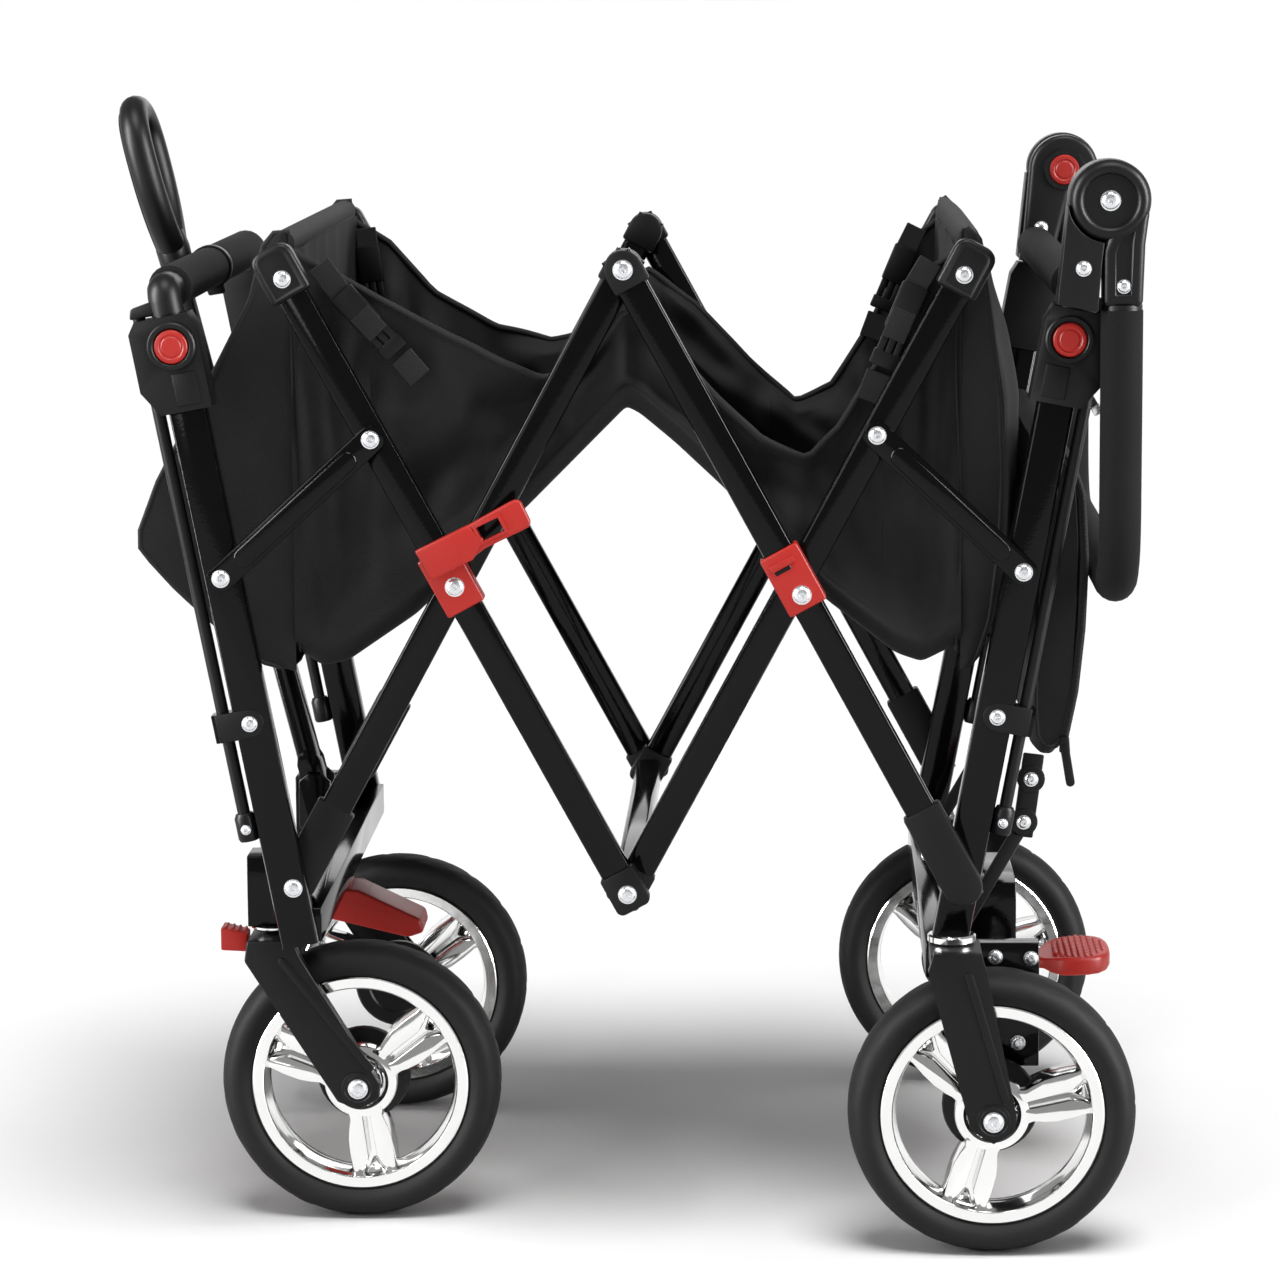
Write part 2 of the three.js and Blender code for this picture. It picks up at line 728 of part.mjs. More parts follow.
function frontCrossTube() {
  const pieces = [boxOf(-246, -218, -FRONT_POST_Y + 9, FRONT_POST_Y - 9, 222, 246)];
  for (const [, side] of SIDES) {
    const y = side * FRONT_WHEEL_Y;
    const block = boxOf(SWIVEL_X - 17, -240, y - 17, y + 17, 218, 270);
    const bore = roundBar([SWIVEL_X, y, 210], [SWIVEL_X, y, 242], AXLE_RADIUS + GAP, 16);
    pieces.push(carved(block, bore));
    const [y0, y1] = span(side, 14, 19);
    pieces.push(
      plateY(
        [
          [-234, 240],
          [-234, 296],
          [-241, 302],
          [-251, 302],
          [-258, 296],
          [-258, 262],
          [-244, 240],
        ].reverse(),
        y0,
        y1
      )
    );
  }
  const whole = joined(...pieces);
  put("front_cross_tube", "steel", whole);
}

function rearCrossTube() {
  const pieces = [boxOf(211, 237, -224, 224, 191, 217)];
  pieces.push(boxOf(230, 284, -58, 58, 172, 226));
  for (const [, side] of SIDES) {
    const [y0, y1] = span(side, 205, 222);
    pieces.push(boxOf(230, 292, y0, y1, 126, 216));
  }
  put("rear_cross_tube", "steel", joined(...pieces));
}

function centreCrossTube() {
  const end = INNER_Y - BAR_DEPTH / 2 - GAP;
  put("centre_cross_tube", "steel", boxOf(-10, 10, -end, end, LOW_Z - 10, LOW_Z + 10));
}

function pedals() {
  put(
    "front_pedal",
    "red",
    plateY(
      [
        [-292, 205],
        [-290, 199],
        [-238, 191],
        [-176, 176],
        [-164, 180],
        [-166, 190],
        [-214, 213],
        [-250, 215],
        [-286, 211],
      ],
      -24,
      24
    )
  );
  put(
    "brake_pedal",
    "red",
    plateY(
      [
        [284 + GAP, 160],
        [296, 150],
        [345, 149],
        [357, 156],
        [354, 166],
        [330, 169],
        [284 + GAP, 176],
      ],
      -42,
      42
    )
  );
}

function pullHandle() {
  const at = (t, out = 0) => [
    PULL_X - t * Math.sin(PULL_LEAN) - out * Math.cos(PULL_LEAN),
    PULL_Z + t * Math.cos(PULL_LEAN) - out * Math.sin(PULL_LEAN),
  ];
  const outer = boxTube(at(8), at(250), 0, 16, 24, 1.8);
  const foot = plateY(strip(at(0), at(20), 18), -13.5, 13.5);
  const hollow = boxTubeSolid(at(22), at(60), 0, 16 - 3.6, 24 - 3.6);
  put("pull_pole", "steel", joined(outer, carved(foot, hollow)));

  const inner = boxTubeSolid(at(150), at(418), 0, 11, 19);
  const loop = loopHandle(at);
  put("pull_grip", "plastic", joined(inner, loop));
}

// closed loop grip in the plane of the pole, thick as a hand rail
function loopHandle(at) {
  const outer = [
    [412, -13],
    [412, 13],
    [432, 20],
    [455, 38],
    [500, 45],
    [530, 34],
    [540, 12],
    [540, -12],
    [530, -34],
    [500, -45],
    [455, -38],
    [432, -20],
  ];
  const inner = [
    [442, 0],
    [462, 17],
    [500, 22],
    [514, 15],
    [518, 0],
    [514, -15],
    [500, -22],
    [462, -17],
  ];
  const shape = new THREE.Shape(outer.map(([t, y]) => new THREE.Vector2(y, t)));
  shape.holes.push(new THREE.Path(inner.map(([t, y]) => new THREE.Vector2(y, t))));
  const g = new THREE.ExtrudeGeometry(shape, { depth: LOOP_DEPTH, bevelEnabled: false });
  const [x0, z0] = at(0);
  const [x1, z1] = at(1);
  const along = new THREE.Vector3(x1 - x0, 0, z1 - z0);
  const across = new THREE.Vector3(0, 1, 0);
  const normal = across.clone().cross(along);
  g.translate(0, 0, -LOOP_DEPTH / 2);
  g.applyMatrix4(new THREE.Matrix4().makeBasis(across, along, normal));
  g.translate(x0, 0, z0);
  return g;
}

function latch() {
  const ux = -sin;
  for (const [name, x] of [
    ["latch_sleeve", -ARM * sin],
    ["catch_sleeve", ARM * sin],
  ]) {
    const low = [x - ux * 18, CROSS_Z - cos * 18];
    const high = [x + ux * 27, CROSS_Z + cos * 27];
    const y = -(OUTER_Y + 3.2);
    const shell = boxTubeSolid(low, high, y, BAR_WIDTH + 7, BAR_DEPTH + 5);
    const room = boxTubeSolid(
      [low[0] - ux * 5, low[1] - cos * 5],
      [high[0] + ux * 5, high[1] + cos * 5],
      -(OUTER_Y - 5),
      BAR_WIDTH + 2 * GAP,
      BAR_DEPTH + 10 + 2 * GAP
    );
    put(name, "red", carved(shell, room));
  }
  const lever = (x, z) => [-ARM * sin + x, CROSS_Z + z];
  put(
    "latch_lever",
    "red",
    plateY(
      [
        lever(-24, -2),
        lever(8, -10),
        lever(12, 12),
        lever(38, 24),
        lever(52, 36),
        lever(53, 48),
        lever(46, 56),
        lever(30, 52),
        lever(18, 40),
        lever(-22, 24),
        lever(-28, 14),
      ],
      -(OUTER_Y + 21),
      -(OUTER_Y + 12),
      [[lever(24, 30), lever(38, 36), lever(36, 47), lever(22, 41)]]
    )
  );
}

// height of the basket's floor and hem along its length
const FLOOR = [
  [-232, 428],
  [-205, 414],
  [-150, 452],
  [-70, 530],
  [-20, 580],
  [0, 596],
  [22, 584],
  [70, 540],
  [140, 462],
  [205, 415],
  [232, 430],
];
const HEM = [
  [232, 694],
  [215, 672],
  [120, 614],
  [60, 630],
  [0, 688],
  [-60, 630],
  [-120, 622],
  [-215, 668],
  [-232, 694],
];

function basket() {
  const outer = plateY([...FLOOR, ...HEM], -BASKET_HALF_Y, BASKET_HALF_Y);
  const raised = FLOOR.map(([x, z]) => [x * 1.1, z + CLOTH]);
  const inner = plateY(
    [...raised, [300, 900], [-300, 900]],
    -BASKET_HALF_Y + CLOTH,
    BASKET_HALF_Y - CLOTH
  );
  put("basket_trough", "cloth", carved(outer, inner));
  const front = plateY(
    [
      [-PANEL_X, 698],
      [-244, 712],
      [-256, 704],
      [-272, 640],
      [-300, 590],
      [-346, 540],
      [-352, 520],
      [-330, 470],
      [-290, 432],
      [-252, 412],
      [-PANEL_X, 414],
    ],
    -PANEL_HALF_Y,
    PANEL_HALF_Y
  );
  // the pole lies in a fold of the cloth
  const fold = boxOf(-400, -242, -34, 34, 380, 760);
  const notch = boxOf(-400, -200, -34, 34, 380, 442);
  put("basket_front_panel", "cloth", carved(front, fold, notch));
  put(
    "basket_rear_panel",
    "cloth",
    plateY(
      [
        [PANEL_X, 698],
        [PANEL_X, 414],
        [250, 416],
        [270, 448],
        [282, 520],
        [281, 590],
        [270, 650],
        [256, 704],
        [244, 712],
      ],
      -PANEL_HALF_Y,
      PANEL_HALF_Y
    )
  );
}

function rearBag() {
  put(
    "rear_bag",
    "cloth",
    plateY(
      [
        [288, 572],
        [286, 470],
        [286, 380],
        [284, 348],
        [298, 342],
        [311, 352],
        [321, 400],
        [327, 470],
        [327, 520],
        [321, 548],
        [304, 576],
      ],
      -206,
      206
    )
  );
}

// ---- assembly -----------------------------------------------------------------------------
for (const [word, side] of SIDES) {
  linkage(word, side);
  for (const end of [-1, 1]) {
    stay(word, side, end);
    post(word, side, end);
    socket(word, side, end);
  }
  wheel(`front_${word}`, FRONT_WHEEL_X, side * FRONT_WHEEL_Y, side);
  wheel(`rear_${word}`, REAR_WHEEL_X, side * REAR_WHEEL_Y, side);
  frontFork(word, side);
  rearFork(word, side);
}
frontCrossTube();
rearCrossTube();
centreCrossTube();
frontBail();
pushFrame();
pushHandle();
pullHandle();
pedals();
latch();
basket();
rearBag();

export default root;
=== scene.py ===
import json
import math
from itertools import product

import bpy
from mathutils import Matrix, Vector, noise


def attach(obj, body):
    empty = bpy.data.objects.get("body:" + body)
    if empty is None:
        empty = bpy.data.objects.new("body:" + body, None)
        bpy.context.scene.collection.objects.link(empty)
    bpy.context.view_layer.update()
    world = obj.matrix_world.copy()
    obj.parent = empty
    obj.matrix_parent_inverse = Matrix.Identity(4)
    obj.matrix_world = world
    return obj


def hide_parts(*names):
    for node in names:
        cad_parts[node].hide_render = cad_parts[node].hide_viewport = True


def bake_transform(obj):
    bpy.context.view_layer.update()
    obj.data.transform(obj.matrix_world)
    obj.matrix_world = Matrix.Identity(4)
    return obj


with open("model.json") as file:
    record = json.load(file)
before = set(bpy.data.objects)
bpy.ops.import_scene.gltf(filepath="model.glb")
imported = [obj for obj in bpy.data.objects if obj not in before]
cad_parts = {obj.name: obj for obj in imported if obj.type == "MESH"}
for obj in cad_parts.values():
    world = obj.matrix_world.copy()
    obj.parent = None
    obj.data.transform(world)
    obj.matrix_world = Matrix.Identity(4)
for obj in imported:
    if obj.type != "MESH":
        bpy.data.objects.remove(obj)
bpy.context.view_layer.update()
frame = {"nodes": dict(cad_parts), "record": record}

bl_info = {
    "name": "Folding beach cart",
    "version": (1, 0, 0),
    "blender": (4, 5, 0),
    "location": "3D View > Sidebar > Cart",
    "description": "Builds the looks of a folding beach cart around its packed frame",
    "category": "Add Mesh",
}

JOINTS = {j["name"]: j for j in frame["record"]["behaviour"]["joints"]}
SIDES = (("near", -1), ("far", 1))
MIRROR = Matrix.Scale(-1, 4, (0, 1, 0))


def pivot(name):
    """Where a joint's axis passes, at rest."""
    return Vector(JOINTS[name]["pos_m"])


# the linkage, in metres, +Z up; -X is the pull handle's end and -Y the side with the latch
MIDDLE = pivot("centre_top").x
BAR_ANGLE = math.radians(28.5)
POST_LEAN = math.radians(10.7)
PULL_LEAN = math.radians(13.9)
INNER_BAR_Y = 0.238
OUTER_BAR_Y = 0.251
POST_Y = {-1: 0.2537, 1: 0.235}
POST_OFFSET = {-1: 0.004, 1: 0.0}
STAY_Y = {-1: 0.266, 1: 0.248}
ROD_OUT = 0.0205
FOOT = {-1: pivot("fold"), 1: pivot("rear_foot")}
CROSSING = {-1: pivot("front_crossing"), 1: pivot("rear_crossing")}
TOP_END = {-1: pivot("front_panel_hang"), 1: pivot("rear_panel_hang")}
TOP_MIDDLE = pivot("centre_top")
LOW_MIDDLE = Vector((MIDDLE, 0, 2 * CROSSING[-1].z - TOP_MIDDLE.z))
END_BODY = {-1: "front_frame", 1: "rear_frame"}
END_WORD = {-1: "front", 1: "rear"}
CLOTH_ANGLE = 60
PIPING = 0.0019
BOLT_RADIUS = 0.0052


def beside_post(end, along, out=0.0):
    """A point beside an end post: along it from its foot pivot, and out from its axis."""
    across, foot = POST_OFFSET[end] + out, FOOT[end]
    sin, cos = math.sin(POST_LEAN), math.cos(POST_LEAN)
    x = foot.x + end * (along * sin + across * cos)
    return Vector((x, 0, foot.z + along * cos - across * sin))


def from_middle(x, z, y=0.0):
    """A point by its distance from the cart's middle bolt along the cart, and its height."""
    return Vector((MIDDLE + x, y, z))


def bar_way(slope):
    """The unit vector up a scissor bar; slope is 1 where it rises towards +X."""
    return Vector((slope * math.sin(BAR_ANGLE), 0, math.cos(BAR_ANGLE)))


# ---- modelling steps ----------------------------------------------------------------------
def clear():
    """Back to object mode with nothing selected."""
    if bpy.context.object and bpy.context.object.mode != "OBJECT":
        bpy.ops.object.mode_set(mode="OBJECT")
    bpy.ops.object.select_all(action="DESELECT")


def pick(piece):
    """Selects one piece alone and makes it the active one."""
    clear()
    piece.select_set(True)
    bpy.context.view_layer.objects.active = piece


class Editing:
    """Edit mode on one piece, with all of it selected or with only the wanted faces."""

    def __init__(self, piece, mode="VERT", wanted=None):
        self.piece, self.mode, self.wanted = piece, mode, wanted

    def __enter__(self):
        pick(self.piece)
        if self.wanted:
            for part in (self.piece.data.vertices, self.piece.data.edges):
                for item in part:
                    item.select = False
            for face in self.piece.data.polygons:
                face.select = bool(self.wanted(face))
            bpy.context.tool_settings.mesh_select_mode = (False, False, True)
            bpy.ops.object.mode_set(mode="EDIT")
        else:
            bpy.ops.object.mode_set(mode="EDIT")
            bpy.ops.mesh.select_mode(type=self.mode)
            bpy.ops.mesh.select_all(action="SELECT")
        return bpy.ops.mesh

    def __exit__(self, *_):
        bpy.ops.object.mode_set(mode="OBJECT")


def outward(piece, s):
    """The test for a slab's faces that look away from the cart's middle plane."""
    face_y = max(s * v.co.y for v in piece.data.vertices)
    return lambda face: s * face.normal.y > 0.99 and s * face.center.y > face_y - 1e-4


def modified(piece, kind, **settings):
    """Applies one modifier to a piece."""
    pick(piece)
    modifier = piece.modifiers.new("step", kind)
    for key, value in settings.items():
        setattr(modifier, key, value)
    bpy.ops.object.modifier_apply(modifier=modifier.name)
    return piece


def rounded(piece, width, segments=2, angle=30.0):
    """Bevels the edges that are sharper than an angle in degrees."""
    if width > 0:
        modified(piece, "BEVEL", width=width, segments=segments, limit_method="ANGLE",
                 angle_limit=math.radians(angle), use_clamp_overlap=True, harden_normals=False)
    return piece


def plate(corners, way):
    """A flat face through the corners, pulled out along a way."""
    clear()
    bpy.ops.mesh.primitive_circle_add(vertices=len(corners), fill_type="NGON")
    piece = bpy.context.object
    for vertex, corner in zip(piece.data.vertices, corners):
        vertex.co = corner
    with Editing(piece, "FACE") as mesh:
        mesh.extrude_region_move(TRANSFORM_OT_translate={"value": way})
        mesh.select_all(action="SELECT")
        mesh.normals_make_consistent(inside=False)
    return piece


def slab(outline, low_y, high_y, edge=0.0, segments=2, angle=30.0):
    """A plate of an (x, z) outline between two y planes, with its edges rounded."""
    piece = plate([(x, low_y, z) for x, z in outline], (0, high_y - low_y, 0))
    return rounded(piece, edge, segments, angle)


def side_slab(outline, s, inner, outer, edge, segments=2, angle=30.0):
    """A slab on one side, between two distances from the cart's middle plane."""
    low_y, high_y = sorted((s * inner, s * outer))
    return slab(outline, low_y, high_y, edge, segments, angle)


def layer(outline, low_z, high_z, edge=0.0, segments=2):
    """A plate of an (x, y) outline between two heights, with its edges rounded."""
    piece = plate([(x, y, low_z) for x, y in outline], (0, 0, high_z - low_z))
    return rounded(piece, edge, segments)


def lathe(profile, centre, axis=(0, 1, 0), steps=32, ring=False):
    """A profile of (radius, along) spun about an axis through centre; a ring's is a closed loop."""
    clear()
    bpy.ops.mesh.primitive_circle_add(vertices=len(profile), fill_type="NOTHING")
    piece = bpy.context.object
    for vertex, (radius, along) in zip(piece.data.vertices, profile):
        vertex.co = (radius, 0, along)
    if not ring:
        last = len(profile) - 1
        for item in (*piece.data.vertices, *piece.data.edges):
            item.select = False
        for edge in piece.data.edges:
            edge.select = set(edge.vertices) == {0, last}
        pick(piece)
        bpy.ops.object.mode_set(mode="EDIT")
        bpy.ops.mesh.select_mode(type="EDGE")
        bpy.ops.mesh.delete(type="EDGE")
        bpy.ops.object.mode_set(mode="OBJECT")
    with Editing(piece) as mesh:
        mesh.spin(steps=steps, angle=math.tau, center=(0, 0, 0), axis=(0, 0, 1))
        mesh.select_all(action="SELECT")
        mesh.remove_doubles(threshold=1e-6)
        mesh.normals_make_consistent(inside=False)
    place = Vector((0, 0, 1)).rotation_difference(Vector(axis)).to_matrix().to_4x4()
    place.translation = centre
    piece.data.transform(place)
    return piece


def disc(centre, radius, inner, outer, edge, steps, dish, s):
    """A round boss on one side, between two distances from the middle plane; dish hollows it."""
    depth = outer - inner
    profile = [
        (0.0, 0.0),
        (radius - edge, 0.0),
        (radius - edge * 0.3, edge * 0.3),
        (radius, edge),
        (radius, depth - edge),
        (radius - edge * 0.3, depth - edge * 0.3),
        (radius - edge, depth),
    ]
    if dish:
        profile += [(radius * 0.8, depth), (radius * 0.74, depth - dish), (0.0, depth - dish)]
    else:
        profile += [(0.0, depth)]
    return lathe(profile, Vector((centre.x, s * inner, centre.z)), (0, s, 0), steps)


def corners_rounded(points, bend, count=7):
    """The points of a path, with an arc in place of each inner corner."""
    path = [points[0]]
    for before, corner, after in zip(points, points[1:], points[2:]):
        into, out = (corner - before).normalized(), (after - corner).normalized()
        half = into.angle(out, 0.0) / 2
        if half < 0.02:
            path.append(corner)
            continue
        cut = min(
            bend * math.tan(half), 0.49 * (corner - before).length, 0.49 * (after - corner).length
        )
        first, last = corner - into * cut, corner + out * cut
        for i in range(count + 1):
            t = i / count
            path.append(first * (1 - t) ** 2 + corner * 2 * t * (1 - t) + last * t**2)
    path.append(points[-1])
    return path


def linked(name, data):
    """A new object in the scene."""
    piece = bpy.data.objects.new(name, data)
    bpy.context.scene.collection.objects.link(piece)
    return piece


def meshed(curve):
    """Turns a curve with a thickness into a mesh piece."""
    pick(linked("path", curve))
    bpy.ops.object.convert(target="MESH")
    piece = bpy.context.object
    with Editing(piece) as mesh:
        mesh.remove_doubles(threshold=1e-6)
        mesh.normals_make_consistent(inside=False)
    return piece


def tube(points, radius, bend=0.0, radii=None, round_ends=0.0, resolution=5):
    """A round bar along a path; bend rounds its corners and round_ends draws in its ends."""
    path = [Vector(p) for p in points]
    if bend:
        path = corners_rounded(path, bend)
    sizes = list(radii) if radii else [1.0] * len(path)
    if round_ends:
        for end, inner in ((0, 1), (-1, -2)):
            way = (path[inner] - path[end]).normalized()
            tip = path[end]
            turns = (0.0, 0.45, 0.95, 1.5)
            places = [tip + way * round_ends * (1 - math.cos(a)) for a in turns]
            shares = [1 - 0.42 * (1 - math.sin(a)) for a in turns]
            if end == 0:
                path, sizes = places + path[1:], shares + sizes[1:]
            else:
                path, sizes = path[:-1] + places[::-1], sizes[:-1] + shares[::-1]
    curve = bpy.data.curves.new("path", "CURVE")
    curve.dimensions = "3D"
    curve.bevel_depth = radius
    curve.bevel_resolution = resolution
    curve.use_fill_caps = True
    spline = curve.splines.new("POLY")
    spline.points.add(len(path) - 1)
    for point, place, size in zip(spline.points, path, sizes):
        point.co = (*place, 1)
        point.radius = size
    return meshed(curve)


def strip(start, end, half_width, extra=0.0):
    """The (x, z) outline of a straight bar between two points."""
    way = (end - start).normalized()
    side = Vector((way.z, 0, -way.x)) * half_width
    a, b = start - way * extra, end + way * extra
    return [(p.x, p.z) for p in (a - side, b - side, b + side, a + side)]


def capped_strip(start, end, half_width, count=10, start_round=False):
    """A bar's outline with a round end at end, and at start if asked."""
    way = (end - start).normalized()
    side = Vector((way.z, 0, -way.x))
    outline = []
    if start_round:
        for i in range(count + 1):
            a = math.pi * i / count
            outline.append(start + side * half_width * math.cos(a) - way * half_width * math.sin(a))
    else:
        outline += [start + side * half_width, start - side * half_width]
    for i in range(count + 1):
        a = math.pi * i / count
        outline.append(end - side * half_width * math.cos(a) + way * half_width * math.sin(a))
    return [(p.x, p.z) for p in outline]


def capped_hood(start, end, half_width, corner):
    """A bar end's outline with softly rounded corners."""
    way = (end - start).normalized()
    side = Vector((way.z, 0, -way.x))
    points = [start + side * half_width, start - side * half_width]
    for sign in (-1, 1):
        centre = end + side * sign * (half_width - corner) - way * corner
        for i in range(6):
            a = math.pi / 2 * i / 5
            turn = a if sign < 0 else math.pi / 2 - a
            points.append(
                centre + side * sign * corner * math.cos(turn) + way * corner * math.sin(turn)
            )
    return [(p.x, p.z) for p in points]


def joined(*pieces):
    """Joins pieces into the first of them."""
    clear()
    for piece in pieces:
        piece.select_set(True)
    bpy.context.view_layer.objects.active = pieces[0]
    bpy.ops.object.join()
    return bpy.context.object


def copied(piece, place=None):
    """A copy with its own mesh, moved by a matrix; a mirrored copy is turned right side out."""
    twin = linked(piece.name, piece.data.copy())
    if place is not None:
        twin.data.transform(place)
        if place.determinant() < 0:
            twin.data.flip_normals()
    return twin


def finished(piece, name, body, slot, finish, *nodes, angle=35):
    """Names a piece, puts its place in its mesh, finishes it and hangs it on its body.
    body is a name, or (first, last, start, end) for a piece that bends between two bodies."""
    pick(piece)
    piece.name = piece.data.name = name
    piece.data.transform(piece.matrix_world)
    piece.matrix_world = Matrix.Identity(4)
    bpy.ops.object.shade_smooth_by_angle(angle=math.radians(angle))
    piece.data.materials.clear()
    piece.data.materials.append(finish)
    if isinstance(body, str):
        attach(piece, body)
    else:
        first, last, start, end = body
        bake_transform(piece)
        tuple(start)
        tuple(end)
    if nodes:
        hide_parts(*nodes)
    return piece


def body_of_node(node):
    """The body that a frame node rides on."""
    for body, nodes in frame["record"]["behaviour"]["bodies"].items():
        if node in nodes:
            return body
    raise RuntimeError(f"{node} is on no body")


def softened(node, finish, edge, segments):
    """A copy of a frame node with its faces joined and its edges rounded, which stands for it."""
    piece = copied(frame["nodes"][node])
    piece.data.materials.clear()
    with Editing(piece) as mesh:
        mesh.remove_doubles(threshold=1e-6)
        mesh.dissolve_limited(angle_limit=math.radians(1.0))
    rounded(piece, edge, segments, 32)
    return finish(piece, f"{node}_shaped", body_of_node(node), node)


def set_uv(piece, size):
    """Turns a grid's own UV map from shares of the sheet into metres."""
    layer = piece.data.uv_layers[0]
    layer.name = "cloth"
    for item in layer.data:
        item.uv = (item.uv[0] * size[0], item.uv[1] * size[1])


def length_of(points):
    """The length of a line through points."""
    return sum((b - a).length for a, b in zip(points, points[1:]))


def woven_sheet(place, across_count, along_count, folds, thickness):
    """A sheet from a grid: place(u, v) gives its points and folds(point, u, v) its wrinkles' moves.
    Returns the piece and the flat cut's size and area, measured before the wrinkles."""
    clear()
    bpy.ops.mesh.primitive_grid_add(
        x_subdivisions=across_count, y_subdivisions=along_count, size=1.0, calc_uvs=True
    )
    piece = bpy.context.object
    shares = [(v.co.x + 0.5, v.co.y + 0.5) for v in piece.data.vertices]
    for vertex, (u, v) in zip(piece.data.vertices, shares):
        vertex.co = place(u, v)
    area = sum(face.area for face in piece.data.polygons)
    rows = [i / 8 for i in range(9)]
    fine = [i / 48 for i in range(49)]
    wide = max(length_of([place(u, v) for u in fine]) for v in rows)
    long = max(length_of([place(u, v) for v in fine]) for u in rows)
    set_uv(piece, (wide, long))
    for vertex, (u, v) in zip(piece.data.vertices, shares):
        vertex.co = vertex.co + folds(vertex.co, u, v)
    modified(piece, "SUBSURF", levels=1, render_levels=1)
    if thickness:
        modified(piece, "SOLIDIFY", thickness=thickness, offset=0.0)
    return piece, (wide, long), area


def hang(piece, cut, area):
    """Declares a hung sheet with the size it was cut to."""
    wide, long = cut
    share = max(1.0, area / (wide * long))
    wide = round(wide * share + 0.0005, 3)
    round(long + 0.0005, 3)


def between(points, x):
    """Height on a polyline of (x, z) at x."""
    ordered = sorted(points)
    if x <= ordered[0][0]:
        return ordered[0][1]
    for (x0, z0), (x1, z1) in zip(ordered, ordered[1:]):
        if x <= x1:
            return z0 + (z1 - z0) * (x - x0) / (x1 - x0)
    return ordered[-1][1]


def eased(t):
    """A share that starts and stops softly."""
    t = min(1.0, max(0.0, t))
    return t * t * (3 - 2 * t)


def crease(x, z, start, end, width, depth):
    """The depth at (x, z) of a soft fold that runs between two points."""
    dx, dz = end[0] - start[0], end[1] - start[1]
    length = math.hypot(dx, dz)
    t = ((x - start[0]) * dx + (z - start[1]) * dz) / length**2
    off = ((x - start[0]) * dz - (z - start[1]) * dx) / length
    ends = eased((t + 0.12) / 0.3) * eased((1.12 - t) / 0.3)
    return depth * ends * math.exp(-((off / width) ** 2))


# ---- finishes -----------------------------------------------------------------------------
class Value:
    """A number inside a finish; sums and products on it add the nodes that work them out."""

    def __init__(self, finish, socket):
        self.finish, self.socket = finish, socket

    def _with(self, operation, first, second):
        node = self.finish.add("ShaderNodeMath", {"operation": operation}, {0: first, 1: second})
        return Value(self.finish, node.outputs[0])

    def __add__(self, other):
        return self._with("ADD", self, other)

    def __sub__(self, other):
        return self._with("SUBTRACT", self, other)

    def __rsub__(self, other):
        return self._with("SUBTRACT", other, self)

    def __mul__(self, other):
        return self._with("MULTIPLY", self, other)

    __radd__ = __add__
    __rmul__ = __mul__

    def sine(self):
        """The sine of this value, in radians."""
        return self._with("SINE", self, 0.0)

    def held(self, low, high):
        """This value from low to high as 0 to 1."""
        node = self.finish.add(
            "ShaderNodeMapRange",
            {"clamp": True},
            {"Value": self, "From Min": low, "From Max": high, "To Min": 0.0, "To Max": 1.0},
        )
        return Value(self.finish, node.outputs[0])


class Finish:
    """A material that is built up node by node."""

    def __init__(self, name, **constants):
        self.material = bpy.data.materials.new(name)
        self.material.use_nodes = True
        self.tree = self.material.node_tree
        self.tree.nodes.clear()
        self.shader = self.add("ShaderNodeBsdfPrincipled")
        self.add("ShaderNodeOutputMaterial", {}, {"Surface": self.shader.outputs[0]})
        for key, value in constants.items():
            socket = key.replace("_", " ").title().replace("Ior", "IOR")
            self.shader.inputs[socket].default_value = value
        self.place = self.add("ShaderNodeTexCoord").outputs["Object"]

    def add(self, kind, settings=None, inputs=None):
        """A node of a kind, with its settings made first and its sockets fed after."""
        node = self.tree.nodes.new(kind)
        for key, value in (settings or {}).items():
            setattr(node, key, value)
        for key, value in (inputs or {}).items():
            self.feed(node.inputs[key], value)
        return node

    def feed(self, socket, value):
        """Links a value to a socket, or sets a plain number on it."""
        if isinstance(value, Value):
            value = value.socket
        if isinstance(value, bpy.types.NodeSocket):
            self.tree.links.new(value, socket)
        else:
            socket.default_value = value

    def noise(self, scale, detail=2.0, roughness=0.5):
        """Clouds, with this many of them in a metre."""
        settings = {"Vector": self.place, "Scale": scale, "Detail": detail, "Roughness": roughness}
        return Value(self, self.add("ShaderNodeTexNoise", {}, settings).outputs[0])

    def cells(self, scale):
        """The distance to the nearest of many scattered points."""
        node = self.add("ShaderNodeTexVoronoi", {}, {"Vector": self.place, "Scale": scale})
        return Value(self, node.outputs["Distance"])

    def parts(self, vector):
        """The three numbers of a vector."""
        node = self.add("ShaderNodeSeparateXYZ", {}, {0: vector})
        return [Value(self, output) for output in node.outputs]

    def own_map(self):
        """The piece's own map of its cloth, in metres."""
        return self.add("ShaderNodeUVMap", {"uv_map": "cloth"}).outputs[0]

    def tinted(self, dark, light, share):
        """Colours the surface from dark to light by share."""
        node = self.add("ShaderNodeMix", {"data_type": "RGBA"},
                        {0: share, 6: (*dark, 1.0), 7: (*light, 1.0)})
        self.feed(self.shader.inputs["Base Color"], node.outputs[2])

    def rough(self, value):
        self.feed(self.shader.inputs["Roughness"], value)

    def raised(self, height, distance, strength):
        """Raises the surface by a height of 0 to 1 times distance, in metres."""
        bump = self.add("ShaderNodeBump", {},
                        {"Height": height, "Distance": distance, "Strength": strength})
        self.feed(self.shader.inputs["Normal"], bump.outputs[0])


def shades(colour, spread):
    """A darker and a lighter shade of a colour."""
    return [c * (1 - spread) for c in colour], [min(1.0, c * (1 + spread)) for c in colour]


